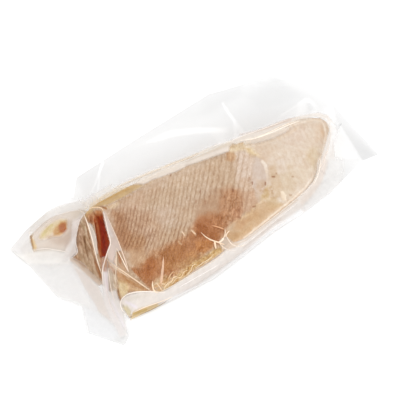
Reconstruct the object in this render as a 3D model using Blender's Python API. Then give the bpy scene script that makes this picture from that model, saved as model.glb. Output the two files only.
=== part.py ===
"""A vacuum-packed albacore tuna loin, as one closed solid with the form of its clear bag.

The bag lies on its flat underside. +X runs along the loin from its thick cut end to its thin end,
+Y points to the loin's high back edge, and +Z is up. The origin is on the table under the middle of the bag.
The bag is a sheet of film on the upper side and one on the lower side. Both follow one grid of lines that
run along the loin's own edges, so the solid is one grid raised to the upper film, with its copy on the lower.
"""

import bmesh
import bpy
import numpy as np

# Driving dimensions, in metres
SEAM_THICKNESS = 0.0012  # the two films of a flap, pressed together
LOIN_CROWN = 0.005  # how far the upper face bulges above a flat one
EDGE_ROUNDING = 0.007  # reach of the rounding on the loin's edges
FILM_BRIDGING = 0.009  # reach of the film where it spans from the loin to a flap
LOIN_UNDERSIDE_SLOPE = 4.0  # how steeply the lower film leaves the table beside the loin
STRIP_UNDERSIDE_SLOPE = 1.5  # and beside the belly strip
TIP_X = 0.2215  # the thin end of the loin, on the table
TIP_SLOPE = 1.6

# Outlines seen from above and heights, each as (position along the outline, value) in metres.
# The loin: its foot on the table, the border of its upper face, and the high back edge.
NEAR_FOOT = ((-0.236, -0.079), (-0.185, -0.075), (-0.129, -0.0875), (0.0, -0.095), (0.108, -0.090),
             (0.160, -0.070), (0.216, -0.031), (0.238, -0.038))
NEAR_EDGE = ((-0.236, -0.068), (-0.162, -0.078), (-0.098, -0.085), (-0.025, -0.092), (0.018, -0.085),
             (0.108, -0.081), (0.158, -0.060), (0.212, -0.024), (0.238, -0.026))
NEAR_EDGE_HEIGHT = ((-0.162, 0.033), (-0.025, 0.029), (0.018, 0.023), (0.108, 0.016), (0.212, 0.010))
BACK_EDGE = ((-0.236, 0.058), (-0.145, 0.054), (-0.089, 0.047), (-0.011, 0.0335), (0.058, 0.024),
             (0.122, 0.016), (0.188, 0.004), (0.217, -0.012), (0.238, 0.010))
BACK_EDGE_HEIGHT = ((-0.145, 0.052), (-0.089, 0.055), (-0.011, 0.053), (0.058, 0.047),
                    (0.122, 0.038), (0.188, 0.025), (0.217, 0.014))
BACK_WALL_DEPTH = 0.011  # from the back edge out to the back foot
# The thick end, cut at a slant: where the cut meets the table and the upper face, by y.
CUT_FOOT = ((-0.075, -0.185), (-0.046, -0.178), (0.019, -0.175), (0.060, -0.172))
CUT_TOP = ((-0.080, -0.163), (-0.060, -0.170), (-0.037, -0.166), (-0.006, -0.152), (0.039, -0.128),
           (0.060, -0.141))
# The belly strip that lies behind the cut end, under the film, as a tapering wedge.
STRIP_BACK = ((-0.216, 0.095), (-0.150, 0.097), (-0.115, 0.070))
STRIP_FRONT = ((-0.216, 0.078), (-0.180, 0.050), (-0.150, 0.040))
STRIP_HEIGHT = ((-0.210, 0.012), (-0.185, 0.026), (-0.150, 0.034), (-0.115, 0.036))
STRIP_START_X, STRIP_END_X = -0.214, -0.112
STRIP_SIDE_SLOPE = 2.2
# The seams of the bag: outline seen from above and height of the upper film.
NEAR_SEAM = ((-0.2165, -0.102), (-0.200, -0.093), (-0.185, -0.079), (-0.129, -0.091), (-0.072, -0.1015),
             (-0.007, -0.100), (0.032, -0.0985), (0.082, -0.1025), (0.132, -0.1025), (0.198, -0.095),
             (0.2245, -0.0995))
FAR_SEAM = ((-0.223, 0.1025), (0.132, 0.1025), (0.2355, 0.097))
LEFT_SEAM = ((-0.102, -0.2165), (-0.058, -0.2365), (-0.022, -0.2145), (-0.016, -0.223), (0.009, -0.227),
             (0.065, -0.221), (0.1025, -0.223))
RIGHT_SEAM = ((-0.0995, 0.2245), (-0.006, 0.2365), (0.046, 0.2365), (0.097, 0.2355))
NEAR_SEAM_HEIGHT = ((-0.2165, 0.003), (-0.185, 0.0016), (-0.072, 0.0025), (0.032, 0.002), (0.132, 0.003),
                    (0.198, 0.006), (0.2245, 0.003))
FAR_SEAM_HEIGHT = ((-0.223, 0.003), (-0.194, 0.018), (-0.151, 0.027), (-0.119, 0.020), (-0.112, 0.050),
                   (-0.004, 0.048), (0.115, 0.043), (0.132, 0.036), (0.2355, 0.004))
LEFT_SEAM_HEIGHT = ((-0.102, 0.003), (-0.058, 0.004), (-0.018, 0.0025), (0.065, 0.003), (0.1025, 0.003))
RIGHT_SEAM_HEIGHT = ((-0.0995, 0.003), (-0.050, 0.010), (-0.006, 0.020), (0.015, 0.025), (0.046, 0.020),
                     (0.097, 0.004))
CORNER_HEIGHT = 0.003
FAR_RISE_START = ((-0.223, 0.050), (-0.150, 0.040), (-0.112, -0.050), (0.2355, -0.100))

# Lines of the grid in each stretch: across the bag from the near seam, and along it from the left seam.
LINES_ACROSS = {"near flap": 4, "near wall": 4, "upper face": 12, "back wall": 3, "far flap": 8}
LINES_ALONG = {"left flap": 7, "cut end": 8, "loin": 34, "right flap": 4}
LOIN_START_X = -0.128  # where the grid lines are square to the loin again
LOIN_END_X = 0.2175

FILM_COLOUR = (0.78, 0.66, 0.54, 1.0)
FILM_ROUGHNESS = 0.25


def straight(at, outline):
    """The outline's value at a position, with straight runs between its points."""
    places, values = np.array(outline).T
    return np.interp(at, places, values)


def smooth(at, outline):
    """The outline's value at a position, on a smooth curve through its points."""
    places, values = np.array(outline).T
    at = np.clip(at, places[0], places[-1])
    slopes = np.gradient(values, places)
    index = np.clip(np.searchsorted(places, at, side="right") - 1, 0, len(places) - 2)
    width = places[index + 1] - places[index]
    share = (at - places[index]) / width
    rise = share * share * (3 - 2 * share)
    start_pull = share * (1 - share) ** 2 * width * slopes[index]
    end_pull = share * share * (1 - share) * width * slopes[index + 1]
    return values[index] * (1 - rise) + values[index + 1] * rise + start_pull - end_pull


def soft_max(first, second, reach):
    """The higher of two heights, with a fillet where they cross."""
    share = np.clip(0.5 + 0.5 * (first - second) / reach, 0, 1)
    return second * (1 - share) + first * share + reach * share * (1 - share)


def soft_min(first, second, reach):
    """The lower of two heights, with a round where they cross."""
    return -soft_max(-first, -second, reach)


def loin_height(x, y):
    """Upper surface of the loin: a crowned face between a near wall, a back wall, the cut end and the thin end."""
    near, back = smooth(x, NEAR_EDGE), smooth(x, BACK_EDGE)
    near_z, back_z = smooth(x, NEAR_EDGE_HEIGHT), smooth(x, BACK_EDGE_HEIGHT)
    across = (y - near) / (back - near)
    bulge = LOIN_CROWN * 4 * np.clip(across, 0, 1) * np.clip(1 - across, 0, 1)
    face = near_z + (back_z - near_z) * across + bulge
    near_foot = smooth(x, NEAR_FOOT)
    near_wall = (y - near_foot) * near_z / np.maximum(near - near_foot, 0.003)
    back_wall = (back + BACK_WALL_DEPTH - y) * back_z / BACK_WALL_DEPTH
    cut_foot, cut_top = smooth(y, CUT_FOOT), smooth(y, CUT_TOP)
    cut_end = (x - cut_foot) * face / np.maximum(cut_top - cut_foot, 0.006)
    thin_end = (TIP_X - x) * TIP_SLOPE
    height = soft_min(face, near_wall, EDGE_ROUNDING)
    height = soft_min(height, back_wall, EDGE_ROUNDING)
    height = soft_min(height, cut_end, EDGE_ROUNDING)
    return soft_min(height, thin_end, EDGE_ROUNDING)


def strip_height(x, y):
    """Upper surface of the belly strip beside the cut end."""
    top = smooth(x, STRIP_HEIGHT)
    back_side = (smooth(x, STRIP_BACK) - y) * STRIP_SIDE_SLOPE
    front_side = (y - smooth(x, STRIP_FRONT)) * STRIP_SIDE_SLOPE
    ends = np.minimum(x - STRIP_START_X, STRIP_END_X - x) * STRIP_SIDE_SLOPE
    height = soft_min(top, back_side, EDGE_ROUNDING)
    height = soft_min(height, front_side, EDGE_ROUNDING)
    return soft_min(height, ends, EDGE_ROUNDING)


def flap_height(x, y):
    """Height of the flaps, spanned between the seams; the far one stands up behind the loin and the strip."""
    near, far = straight(x, NEAR_SEAM), straight(x, FAR_SEAM)
    left, right = straight(y, LEFT_SEAM), straight(y, RIGHT_SEAM)
    rise_start = straight(x, FAR_RISE_START)
    across = np.clip((y - near) / (far - near), 0, 1)
    far_share = np.sqrt(np.clip((y - rise_start) / (far - rise_start), 0, 1))
    along = np.clip((x - left) / (right - left), 0, 1)
    between_sides = straight(x, NEAR_SEAM_HEIGHT) * (1 - across) + straight(x, FAR_SEAM_HEIGHT) * far_share
    between_ends = straight(y, LEFT_SEAM_HEIGHT) * (1 - along) + straight(y, RIGHT_SEAM_HEIGHT) * along
    return np.maximum(between_sides + between_ends - CORNER_HEIGHT, SEAM_THICKNESS + 0.0003)


def upper_film(x, y):
    """The film over the loin, the strip and the flaps."""
    contents = soft_max(loin_height(x, y), strip_height(x, y), FILM_BRIDGING)
    return soft_max(contents, flap_height(x, y), FILM_BRIDGING)


def lower_film(x, y):
    """The film under the pack: flat on the table below the contents, then up beside them to the flaps."""
    beside_loin = np.maximum.reduce([
        smooth(x, NEAR_FOOT) - y,
        y - smooth(x, BACK_EDGE) - BACK_WALL_DEPTH,
        smooth(y, CUT_FOOT) - x,
        x - TIP_X,
    ])
    beside_strip = np.maximum.reduce([
        smooth(x, STRIP_FRONT) - y,
        y - smooth(x, STRIP_BACK),
        STRIP_START_X - x,
        x - STRIP_END_X,
    ])
    rise = np.minimum(beside_loin * LOIN_UNDERSIDE_SLOPE, beside_strip * STRIP_UNDERSIDE_SLOPE)
    return np.clip(rise, 0, flap_height(x, y) - SEAM_THICKNESS)


def stations(counts):
    """For each grid line, the stretch it starts from and its share of the way across that stretch."""
    lines = [(stretch, step / count) for stretch, count in enumerate(counts) for step in range(count)]
    return [*lines, (len(counts) - 1, 1.0)]


def grid_lines():
    """x and y of every crossing of the grid, with a row for each line along the bag."""
    rows, columns = stations(LINES_ACROSS.values()), stations(LINES_ALONG.values())
    y = np.tile(np.linspace(NEAR_SEAM[0][1], FAR_SEAM[0][1], len(rows))[:, None], (1, len(columns)))
    x = np.zeros_like(y)
    for _ in range(12):
        ends = [straight(y, LEFT_SEAM), smooth(y, CUT_FOOT), np.full_like(y, LOIN_START_X),
                np.full_like(y, LOIN_END_X), straight(y, RIGHT_SEAM)]
        for column, (stretch, share) in enumerate(columns):
            x[:, column] = ends[stretch][:, column] * (1 - share) + ends[stretch + 1][:, column] * share
        back = smooth(x, BACK_EDGE)
        sides = [straight(x, NEAR_SEAM), smooth(x, NEAR_FOOT), smooth(x, NEAR_EDGE),
                 back, back + BACK_WALL_DEPTH, straight(x, FAR_SEAM)]
        for row, (stretch, share) in enumerate(rows):
            y[row] = sides[stretch][row] * (1 - share) + sides[stretch + 1][row] * share
    return x, y


def make_bag():
    """The bag as one closed mesh: the grid on the upper film, and its copy on the lower film."""
    lines_x, lines_y = grid_lines()
    rows, columns = lines_x.shape
    bm = bmesh.new()
    bmesh.ops.create_grid(bm, x_segments=columns - 1, y_segments=rows - 1, size=0.5)
    for vert in bm.verts:
        row, column = round((vert.co.y + 0.5) * (rows - 1)), round((vert.co.x + 0.5) * (columns - 1))
        x, y = lines_x[row, column], lines_y[row, column]
        vert.co = (x, y, upper_film(x, y))
    bmesh.ops.triangulate(bm, faces=bm.faces)
    copied = bmesh.ops.extrude_face_region(bm, geom=bm.faces[:], use_keep_orig=True)["geom"]
    for vert in (item for item in copied if isinstance(item, bmesh.types.BMVert)):
        vert.co.z = lower_film(vert.co.x, vert.co.y)
    bmesh.ops.recalc_face_normals(bm, faces=bm.faces)
    mesh = bpy.data.meshes.new("sealed_bag")
    bm.to_mesh(mesh)
    bm.free()
    mesh.shade_smooth()
    mesh.set_sharp_from_angle(angle=np.radians(50))
    return mesh


def film_material():
    """The look of film drawn tight over pale fish."""
    material = bpy.data.materials.new("film_over_tuna")
    material.use_nodes = True
    shader = material.node_tree.nodes["Principled BSDF"]
    shader.inputs["Base Color"].default_value = FILM_COLOUR
    shader.inputs["Roughness"].default_value = FILM_ROUGHNESS
    shader.inputs["Metallic"].default_value = 0.0
    return material


def main():
    for obj in list(bpy.data.objects):
        bpy.data.objects.remove(obj)
    collection = bpy.data.collections.new("albacore_tuna_loin")
    bpy.context.scene.collection.children.link(collection)
    mesh = make_bag()
    mesh.materials.append(film_material())
    collection.objects.link(bpy.data.objects.new("sealed_bag", mesh))


main()
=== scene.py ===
"""A vacuum-packed albacore tuna loin on a pale floor.

The loin, the belly strip beside its cut end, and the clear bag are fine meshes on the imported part's own form.
Their marks are given as the camera sees them, in pixels of a 400 by 400 frame, and are stored on the meshes.
"""

import bmesh
import bpy
import numpy as np
from mathutils import Matrix


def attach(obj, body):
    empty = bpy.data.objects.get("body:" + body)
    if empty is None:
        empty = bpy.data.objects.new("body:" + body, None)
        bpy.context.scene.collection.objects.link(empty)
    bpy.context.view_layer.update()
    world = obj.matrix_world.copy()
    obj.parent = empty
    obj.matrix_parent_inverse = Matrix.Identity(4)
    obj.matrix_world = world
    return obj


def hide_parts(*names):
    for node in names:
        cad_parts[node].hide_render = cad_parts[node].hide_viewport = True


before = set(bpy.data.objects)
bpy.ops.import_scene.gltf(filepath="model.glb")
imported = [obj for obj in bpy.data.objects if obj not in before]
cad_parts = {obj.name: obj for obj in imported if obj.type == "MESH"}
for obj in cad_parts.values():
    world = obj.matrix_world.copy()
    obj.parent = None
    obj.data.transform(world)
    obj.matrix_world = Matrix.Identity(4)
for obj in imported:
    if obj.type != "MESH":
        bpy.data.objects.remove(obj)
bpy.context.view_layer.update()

# ---------------------------------------------------------------- the pack's form, in metres, as in the part

SEAM_THICKNESS = 0.0012
LOIN_CROWN = 0.005
EDGE_ROUNDING = 0.007
FILM_BRIDGING = 0.009
LOIN_UNDERSIDE_SLOPE = 4.0
STRIP_UNDERSIDE_SLOPE = 1.5
TIP_X = 0.2215
TIP_SLOPE = 1.6
NEAR_FOOT = ((-0.236, -0.079), (-0.185, -0.075), (-0.129, -0.0875), (0.0, -0.095), (0.108, -0.090),
             (0.160, -0.070), (0.216, -0.031), (0.238, -0.038))
NEAR_EDGE = ((-0.236, -0.068), (-0.162, -0.078), (-0.098, -0.085), (-0.025, -0.092), (0.018, -0.085),
             (0.108, -0.081), (0.158, -0.060), (0.212, -0.024), (0.238, -0.026))
NEAR_EDGE_HEIGHT = ((-0.162, 0.033), (-0.025, 0.029), (0.018, 0.023), (0.108, 0.016), (0.212, 0.010))
BACK_EDGE = ((-0.236, 0.058), (-0.145, 0.054), (-0.089, 0.047), (-0.011, 0.0335), (0.058, 0.024),
             (0.122, 0.016), (0.188, 0.004), (0.217, -0.012), (0.238, 0.010))
BACK_EDGE_HEIGHT = ((-0.145, 0.052), (-0.089, 0.055), (-0.011, 0.053), (0.058, 0.047),
                    (0.122, 0.038), (0.188, 0.025), (0.217, 0.014))
BACK_WALL_DEPTH = 0.011
NEAR_WALL_LEAST_RUN, CUT_END_LEAST_RUN = 0.003, 0.006
CUT_FOOT = ((-0.075, -0.185), (-0.046, -0.178), (0.019, -0.175), (0.060, -0.172))
CUT_TOP = ((-0.080, -0.163), (-0.060, -0.170), (-0.037, -0.166), (-0.006, -0.152), (0.039, -0.128),
           (0.060, -0.141))
STRIP_BACK = ((-0.216, 0.095), (-0.150, 0.097), (-0.115, 0.070))
STRIP_FRONT = ((-0.216, 0.078), (-0.180, 0.050), (-0.150, 0.040))
STRIP_HEIGHT = ((-0.210, 0.012), (-0.185, 0.026), (-0.150, 0.034), (-0.115, 0.036))
STRIP_START_X, STRIP_END_X = -0.214, -0.112
STRIP_SIDE_SLOPE = 2.2
NEAR_SEAM = ((-0.2165, -0.102), (-0.200, -0.093), (-0.185, -0.079), (-0.129, -0.091), (-0.072, -0.1015),
             (-0.007, -0.100), (0.032, -0.0985), (0.082, -0.1025), (0.132, -0.1025), (0.198, -0.095),
             (0.2245, -0.0995))
FAR_SEAM = ((-0.223, 0.1025), (0.132, 0.1025), (0.2355, 0.097))
LEFT_SEAM = ((-0.102, -0.2165), (-0.058, -0.2365), (-0.022, -0.2145), (-0.016, -0.223), (0.009, -0.227),
             (0.065, -0.221), (0.1025, -0.223))
RIGHT_SEAM = ((-0.0995, 0.2245), (-0.006, 0.2365), (0.046, 0.2365), (0.097, 0.2355))
NEAR_SEAM_HEIGHT = ((-0.2165, 0.003), (-0.185, 0.0016), (-0.072, 0.0025), (0.032, 0.002), (0.132, 0.003),
                    (0.198, 0.006), (0.2245, 0.003))
FAR_SEAM_HEIGHT = ((-0.223, 0.003), (-0.194, 0.018), (-0.151, 0.027), (-0.119, 0.020), (-0.112, 0.050),
                   (-0.004, 0.048), (0.115, 0.043), (0.132, 0.036), (0.2355, 0.004))
LEFT_SEAM_HEIGHT = ((-0.102, 0.003), (-0.058, 0.004), (-0.018, 0.0025), (0.065, 0.003), (0.1025, 0.003))
RIGHT_SEAM_HEIGHT = ((-0.0995, 0.003), (-0.050, 0.010), (-0.006, 0.020), (0.015, 0.025), (0.046, 0.020),
                     (0.097, 0.004))
CORNER_HEIGHT = 0.003
FLAP_LEAST_HEIGHT = SEAM_THICKNESS + 0.0003
FAR_RISE_START = ((-0.223, 0.050), (-0.150, 0.040), (-0.112, -0.050), (0.2355, -0.100))
LOIN_START_X = -0.128
LOIN_END_X = 0.2175

# Fine grids: lines in each stretch across the pack from the near side, and along it from the left.
FILM_ACROSS, FILM_ALONG = (14, 20, 18, 84, 12, 46), (28, 66, 236, 16)
LOIN_ACROSS, LOIN_ALONG = (20, 20, 106, 12), (90, 360, 8)
STRIP_ACROSS, STRIP_ALONG = 60, 110
GRID_ROUNDS = 12  # rounds in which a grid's lines settle on its sides and ends
SHOULDER = 0.006  # how far in from the near edge the lines lie close together
FILM_GAP = 0.0006  # between the flesh and the film over and below it
LEAST_GAP = 0.0007  # between the two films
LEAST_HEIGHT = 0.0012  # of the flesh's upper side
LOIN_SPAN = (-0.09, 0.06)  # about where the loin's grid starts and ends across the pack
HIDDEN_RISE = (0.0, 0.004)  # behind the back edge: where the plain hidden flesh begins and is complete
BAND_DEPTH, HOLE_DEPTH = 0.0003, 0.0045
LOIN_SUNK = 0.0007  # how far the dented flesh lies below the part's own form
STRIP_INSET = 0.001
STRIP_UNDER_FILM = 0.7  # the strip's least height, as a share of the film's over it

# Uneven heights in layers: height, size and seed of each.
LOIN_DENTS = ((0.0007, 0.018, 11), (0.0003, 0.007, 12))
STRIP_DENTS = ((0.0006, 0.012, 21), (0.0003, 0.005, 22))
FLAP_WAVES = ((0.0013, 0.045, 33), (0.0006, 0.018, 34))
BAND_SWAY = ((0.10, 0.022, 7), (0.05, 0.008, 8))  # in shares of a band's width
# The flaps' waves begin at the first distance and are full at the second: above the contents, above the table
# and in from the seams.
ABOVE_CONTENTS, ABOVE_TABLE, FROM_SEAMS = (-0.002, 0.004), (0.002, 0.006), (0.0, 0.02)
# The size of the noise by which marks wander, and its size and strength for the film's marks.
MARK_DRIFT_SIZE, FILM_DRIFT_SIZE, FILM_DRIFT = 0.006, 0.009, 0.25

CREASE_HEIGHT = 0.0006
CREASE_STEP = 0.8  # pixels
CREASE_CORNERS = 6  # round its cross-section
CREASE_TAPER, CREASE_POINT = 0.2, 0.06  # share of its length that tapers off, and what is left at the end
SEARCH_TOP, SEARCH_STEPS = 0.075, 601  # heights at which a line of sight is tried against the film

# ---------------------------------------------------------------- the camera

CAMERA_AZIMUTH, CAMERA_ELEVATION = np.radians(-43.6), np.radians(47.8)
CAMERA_TARGET = np.array((0.0040, 0.0036, 0.0))
CAMERA_DISTANCE = 1.768
FOCAL_PIXELS = 1400.0
FRAME_PIXELS = 400
SENSOR_MM = 36.0
PIXEL = CAMERA_DISTANCE / FOCAL_PIXELS

camera_back = np.array((np.sin(CAMERA_AZIMUTH) * np.cos(CAMERA_ELEVATION),
                        -np.cos(CAMERA_AZIMUTH) * np.cos(CAMERA_ELEVATION), np.sin(CAMERA_ELEVATION)))
camera_right = np.array((np.cos(CAMERA_AZIMUTH), np.sin(CAMERA_AZIMUTH), 0.0))
camera_up = np.cross(camera_back, camera_right)
camera_place = CAMERA_TARGET + camera_back * CAMERA_DISTANCE


def seen(x, y, z):
    """Where points lie in the camera's frame, in pixels from its top left."""
    away = np.stack([x, y, z], -1) - camera_place
    depth = -(away @ camera_back)
    middle = FRAME_PIXELS / 2
    return np.stack([middle + FOCAL_PIXELS * (away @ camera_right) / depth,
                     middle - FOCAL_PIXELS * (away @ camera_up) / depth], -1)


# ---------------------------------------------------------------- the form's functions


def straight(at, outline):
    """Value at each place, on straight lines between the points of an outline."""
    places, values = np.array(outline).T
    return np.interp(at, places, values)


def smooth(at, outline):
    """Value at each place, on a smooth curve through the points of an outline."""
    places, values = np.array(outline).T
    at = np.clip(at, places[0], places[-1])
    slopes = np.gradient(values, places)
    index = np.clip(np.searchsorted(places, at, side="right") - 1, 0, len(places) - 2)
    width = places[index + 1] - places[index]
    share = (at - places[index]) / width
    rise = share * share * (3 - 2 * share)
    start_pull = share * (1 - share) ** 2 * width * slopes[index]
    end_pull = share * share * (1 - share) * width * slopes[index + 1]
    return values[index] * (1 - rise) + values[index + 1] * rise + start_pull - end_pull


def soft_max(first, second, reach):
    """The larger of two heights, with a rounded change between them over a reach."""
    share = np.clip(0.5 + 0.5 * (first - second) / reach, 0, 1)
    return second * (1 - share) + first * share + reach * share * (1 - share)


def soft_min(first, second, reach):
    return -soft_max(-first, -second, reach)


def loin_height(x, y, inset=0.0):
    """Upper surface of the loin, or of a loin that is smaller by an inset."""
    near, back = smooth(x, NEAR_EDGE), smooth(x, BACK_EDGE)
    near_z, back_z = smooth(x, NEAR_EDGE_HEIGHT), smooth(x, BACK_EDGE_HEIGHT)
    across = (y - near) / (back - near)
    bulge = LOIN_CROWN * 4 * np.clip(across, 0, 1) * np.clip(1 - across, 0, 1)
    face = near_z + (back_z - near_z) * across + bulge - inset
    near_foot = smooth(x, NEAR_FOOT)
    near_wall = (y - near_foot - inset) * near_z / np.maximum(near - near_foot, NEAR_WALL_LEAST_RUN)
    back_wall = (back + BACK_WALL_DEPTH - inset - y) * back_z / BACK_WALL_DEPTH
    cut_foot, cut_top = smooth(y, CUT_FOOT), smooth(y, CUT_TOP)
    cut_end = (x - cut_foot - inset) * face / np.maximum(cut_top - cut_foot, CUT_END_LEAST_RUN)
    thin_end = (TIP_X - inset - x) * TIP_SLOPE
    height = soft_min(face, near_wall, EDGE_ROUNDING)
    height = soft_min(height, back_wall, EDGE_ROUNDING)
    height = soft_min(height, cut_end, EDGE_ROUNDING)
    return soft_min(height, thin_end, EDGE_ROUNDING)


def strip_height(x, y):
    """Upper surface of the belly strip."""
    top = smooth(x, STRIP_HEIGHT)
    back_side = (smooth(x, STRIP_BACK) - y) * STRIP_SIDE_SLOPE
    front_side = (y - smooth(x, STRIP_FRONT)) * STRIP_SIDE_SLOPE
    ends = np.minimum(x - STRIP_START_X, STRIP_END_X - x) * STRIP_SIDE_SLOPE
    height = soft_min(top, back_side, EDGE_ROUNDING)
    height = soft_min(height, front_side, EDGE_ROUNDING)
    return soft_min(height, ends, EDGE_ROUNDING)


def flap_height(x, y):
    """Upper side of the flaps, stretched between the heights of the four seams."""
    near, far = straight(x, NEAR_SEAM), straight(x, FAR_SEAM)
    left, right = straight(y, LEFT_SEAM), straight(y, RIGHT_SEAM)
    rise_start = straight(x, FAR_RISE_START)
    across = np.clip((y - near) / (far - near), 0, 1)
    far_share = np.sqrt(np.clip((y - rise_start) / (far - rise_start), 0, 1))
    along = np.clip((x - left) / (right - left), 0, 1)
    between_sides = straight(x, NEAR_SEAM_HEIGHT) * (1 - across) + straight(x, FAR_SEAM_HEIGHT) * far_share
    between_ends = straight(y, LEFT_SEAM_HEIGHT) * (1 - along) + straight(y, RIGHT_SEAM_HEIGHT) * along
    return np.maximum(between_sides + between_ends - CORNER_HEIGHT, FLAP_LEAST_HEIGHT)


def contents_height(x, y):
    """The film drawn over the loin and the strip."""
    return soft_max(loin_height(x, y), strip_height(x, y), FILM_BRIDGING)


def upper_film(x, y):
    """The upper film as in the part, without the waves of its flaps."""
    return soft_max(contents_height(x, y), flap_height(x, y), FILM_BRIDGING)


def lower_rise(x, y):
    """How high the lower film would stand if it only left the table beside the contents."""
    beside_loin = np.maximum.reduce([
        smooth(x, NEAR_FOOT) - y,
        y - smooth(x, BACK_EDGE) - BACK_WALL_DEPTH,
        smooth(y, CUT_FOOT) - x,
        x - TIP_X,
    ])
    beside_strip = np.maximum.reduce([
        smooth(x, STRIP_FRONT) - y,
        y - smooth(x, STRIP_BACK),
        STRIP_START_X - x,
        x - STRIP_END_X,
    ])
    return np.minimum(beside_loin * LOIN_UNDERSIDE_SLOPE, beside_strip * STRIP_UNDERSIDE_SLOPE)


def stations(counts):
    """Which stretch each line of a grid lies in, and its share of the way across it."""
    lines = [(stretch, step / count) for stretch, count in enumerate(counts) for step in range(count)]
    return [*lines, (len(counts) - 1, 1.0)]


def grid(across_counts, along_counts, sides_at, ends_at, start_y, end_y):
    """x and y of every crossing of a grid whose lines follow the sides and ends."""
    rows, columns = stations(across_counts), stations(along_counts)
    y = np.tile(np.linspace(start_y, end_y, len(rows))[:, None], (1, len(columns)))
    x = np.zeros_like(y)
    for _ in range(GRID_ROUNDS):
        ends = ends_at(y)
        for column, (stretch, share) in enumerate(columns):
            x[:, column] = ends[stretch][:, column] * (1 - share) + ends[stretch + 1][:, column] * share
        sides = sides_at(x)
        for row, (stretch, share) in enumerate(rows):
            y[row] = sides[stretch][row] * (1 - share) + sides[stretch + 1][row] * share
    return x, y


# ---------------------------------------------------------------- marks

NOISE_CELLS, NOISE_SHIFT = 64, 31.7  # cells until noise repeats, and where among them the pack's middle lies
LINE_SOFTNESS = 1.3
# How strongly uneven shifts move a line, and an area by each pixel of its softness, with a limit.
LINE_DRIFT, AREA_DRIFT, MOST_DRIFT = 0.3, 0.2, 1.4


def eased(share):
    """A share held between 0 and 1, with a soft start and end."""
    share = np.clip(share, 0, 1)
    return share * share * (3 - 2 * share)


def rising(value, start, end):
    """0 up to a start, 1 from an end on, and a soft change between them."""
    return eased((value - start) / (end - start))


def noise(x, y, size, seed):
    """Smooth noise from -1 to 1 with features of a size in metres."""
    values = np.random.default_rng(seed).uniform(-1, 1, (NOISE_CELLS, NOISE_CELLS))
    across, along = np.asarray(x) / size + NOISE_SHIFT, np.asarray(y) / size + NOISE_SHIFT
    column, row = np.floor(across).astype(int), np.floor(along).astype(int)
    right, far = eased(across - column), eased(along - row)

    def value(column, row):
        return values[column % NOISE_CELLS, row % NOISE_CELLS]

    near_value = value(column, row) * (1 - right) + value(column + 1, row) * right
    far_value = value(column, row + 1) * (1 - right) + value(column + 1, row + 1) * right
    return near_value * (1 - far) + far_value * far


def uneven(x, y, layers):
    """Noise in layers: height, size and seed of each."""
    return sum(height * noise(x, y, size, seed) for height, size, seed in layers)


def distance_to(spots, points, closed):
    """Distance from each spot to a line, and how far along the line its nearest point is, from 0 to 1."""
    best, along = np.full(len(spots), np.inf), np.zeros(len(spots))
    corners = np.array(points, float)
    if closed:
        corners = np.vstack([corners, corners[:1]])
    for index, (start, end) in enumerate(zip(corners, corners[1:])):
        run = end - start
        share = np.clip(((spots - start) @ run) / (run @ run), 0, 1)
        away = np.linalg.norm(spots - start - share[:, None] * run, axis=1)
        closer = away < best
        best = np.where(closer, away, best)
        along = np.where(closer, (index + share) / (len(corners) - 1), along)
    return best, along


def inside(spots, points):
    """True for each spot inside a closed outline."""
    within = np.zeros(len(spots), bool)
    corners = np.array(points, float)
    for (x1, y1), (x2, y2) in zip(corners, np.roll(corners, -1, axis=0)):
        if y1 == y2:
            continue
        crosses = (spots[:, 1] < y1) != (spots[:, 1] < y2)
        at = x1 + (spots[:, 1] - y1) * (x2 - x1) / (y2 - y1)
        within ^= crosses & (spots[:, 0] < at)
    return within


def close_by(spots, points, reach):
    """True for each spot in the box round some points, widened by a reach."""
    corners = np.array(points, float)
    low, high = corners.min(0) - reach, corners.max(0) + reach
    return np.all((spots > low) & (spots < high), axis=1)


def region(spots, points, soft):
    """1 inside an outline, 0 outside, with an edge that is soft over a width."""
    mask = np.zeros(len(spots))
    chosen = close_by(spots, points, soft)
    near = spots[chosen]
    away, _ = distance_to(near, points, True)
    signed = np.where(inside(near, points), away, -away)
    mask[chosen] = eased(signed / soft + 0.5)
    return mask


def half_width(width, share):
    """Half a line's width at a share of its length, for one width or for one that runs into another."""
    start, end = width if isinstance(width, tuple) else (width, width)
    return (start + (end - start) * share) / 2


def stroke(spots, points, width, soft=LINE_SOFTNESS):
    """1 along a line of a width, 0 beside it."""
    mask = np.zeros(len(spots))
    chosen = close_by(spots, points, np.max(width) / 2 + soft)
    away, along = distance_to(spots[chosen], points, False)
    mask[chosen] = eased((half_width(width, along) + soft / 2 - away) / soft)
    return mask


def painted(spots, marks, start, drift=0.0):
    """The value at each spot, from a start, once all marks lie over each other."""
    values = np.tile(np.array(start, float), (len(spots), 1))
    for kind, size, strength, value, *points in marks:
        if kind == "area":
            mask = region(spots + drift * min(size * AREA_DRIFT, MOST_DRIFT), points, size)
        else:
            mask = stroke(spots + drift * LINE_DRIFT, points, size)
        values += (np.array(value, float) - values) * (mask * strength)[:, None]
    return values if np.ndim(start) else values[:, 0]


def reflected(seen_colour, light):
    """The colour, from 0 to 1, of a surface that is seen in a colour, from 0 to 255, under some light."""
    share = np.clip(np.asarray(seen_colour, float) / 255, 0, 1)
    return np.where(share < 0.04045, share / 12.92, ((share + 0.055) / 1.055) ** 2.4) / light


# A mark is an area with the softness of its edge, or a line with its width, then its strength, the value that
# it brings, and its points. Lengths are in pixels, and colours are the ones that the camera sees.

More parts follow.
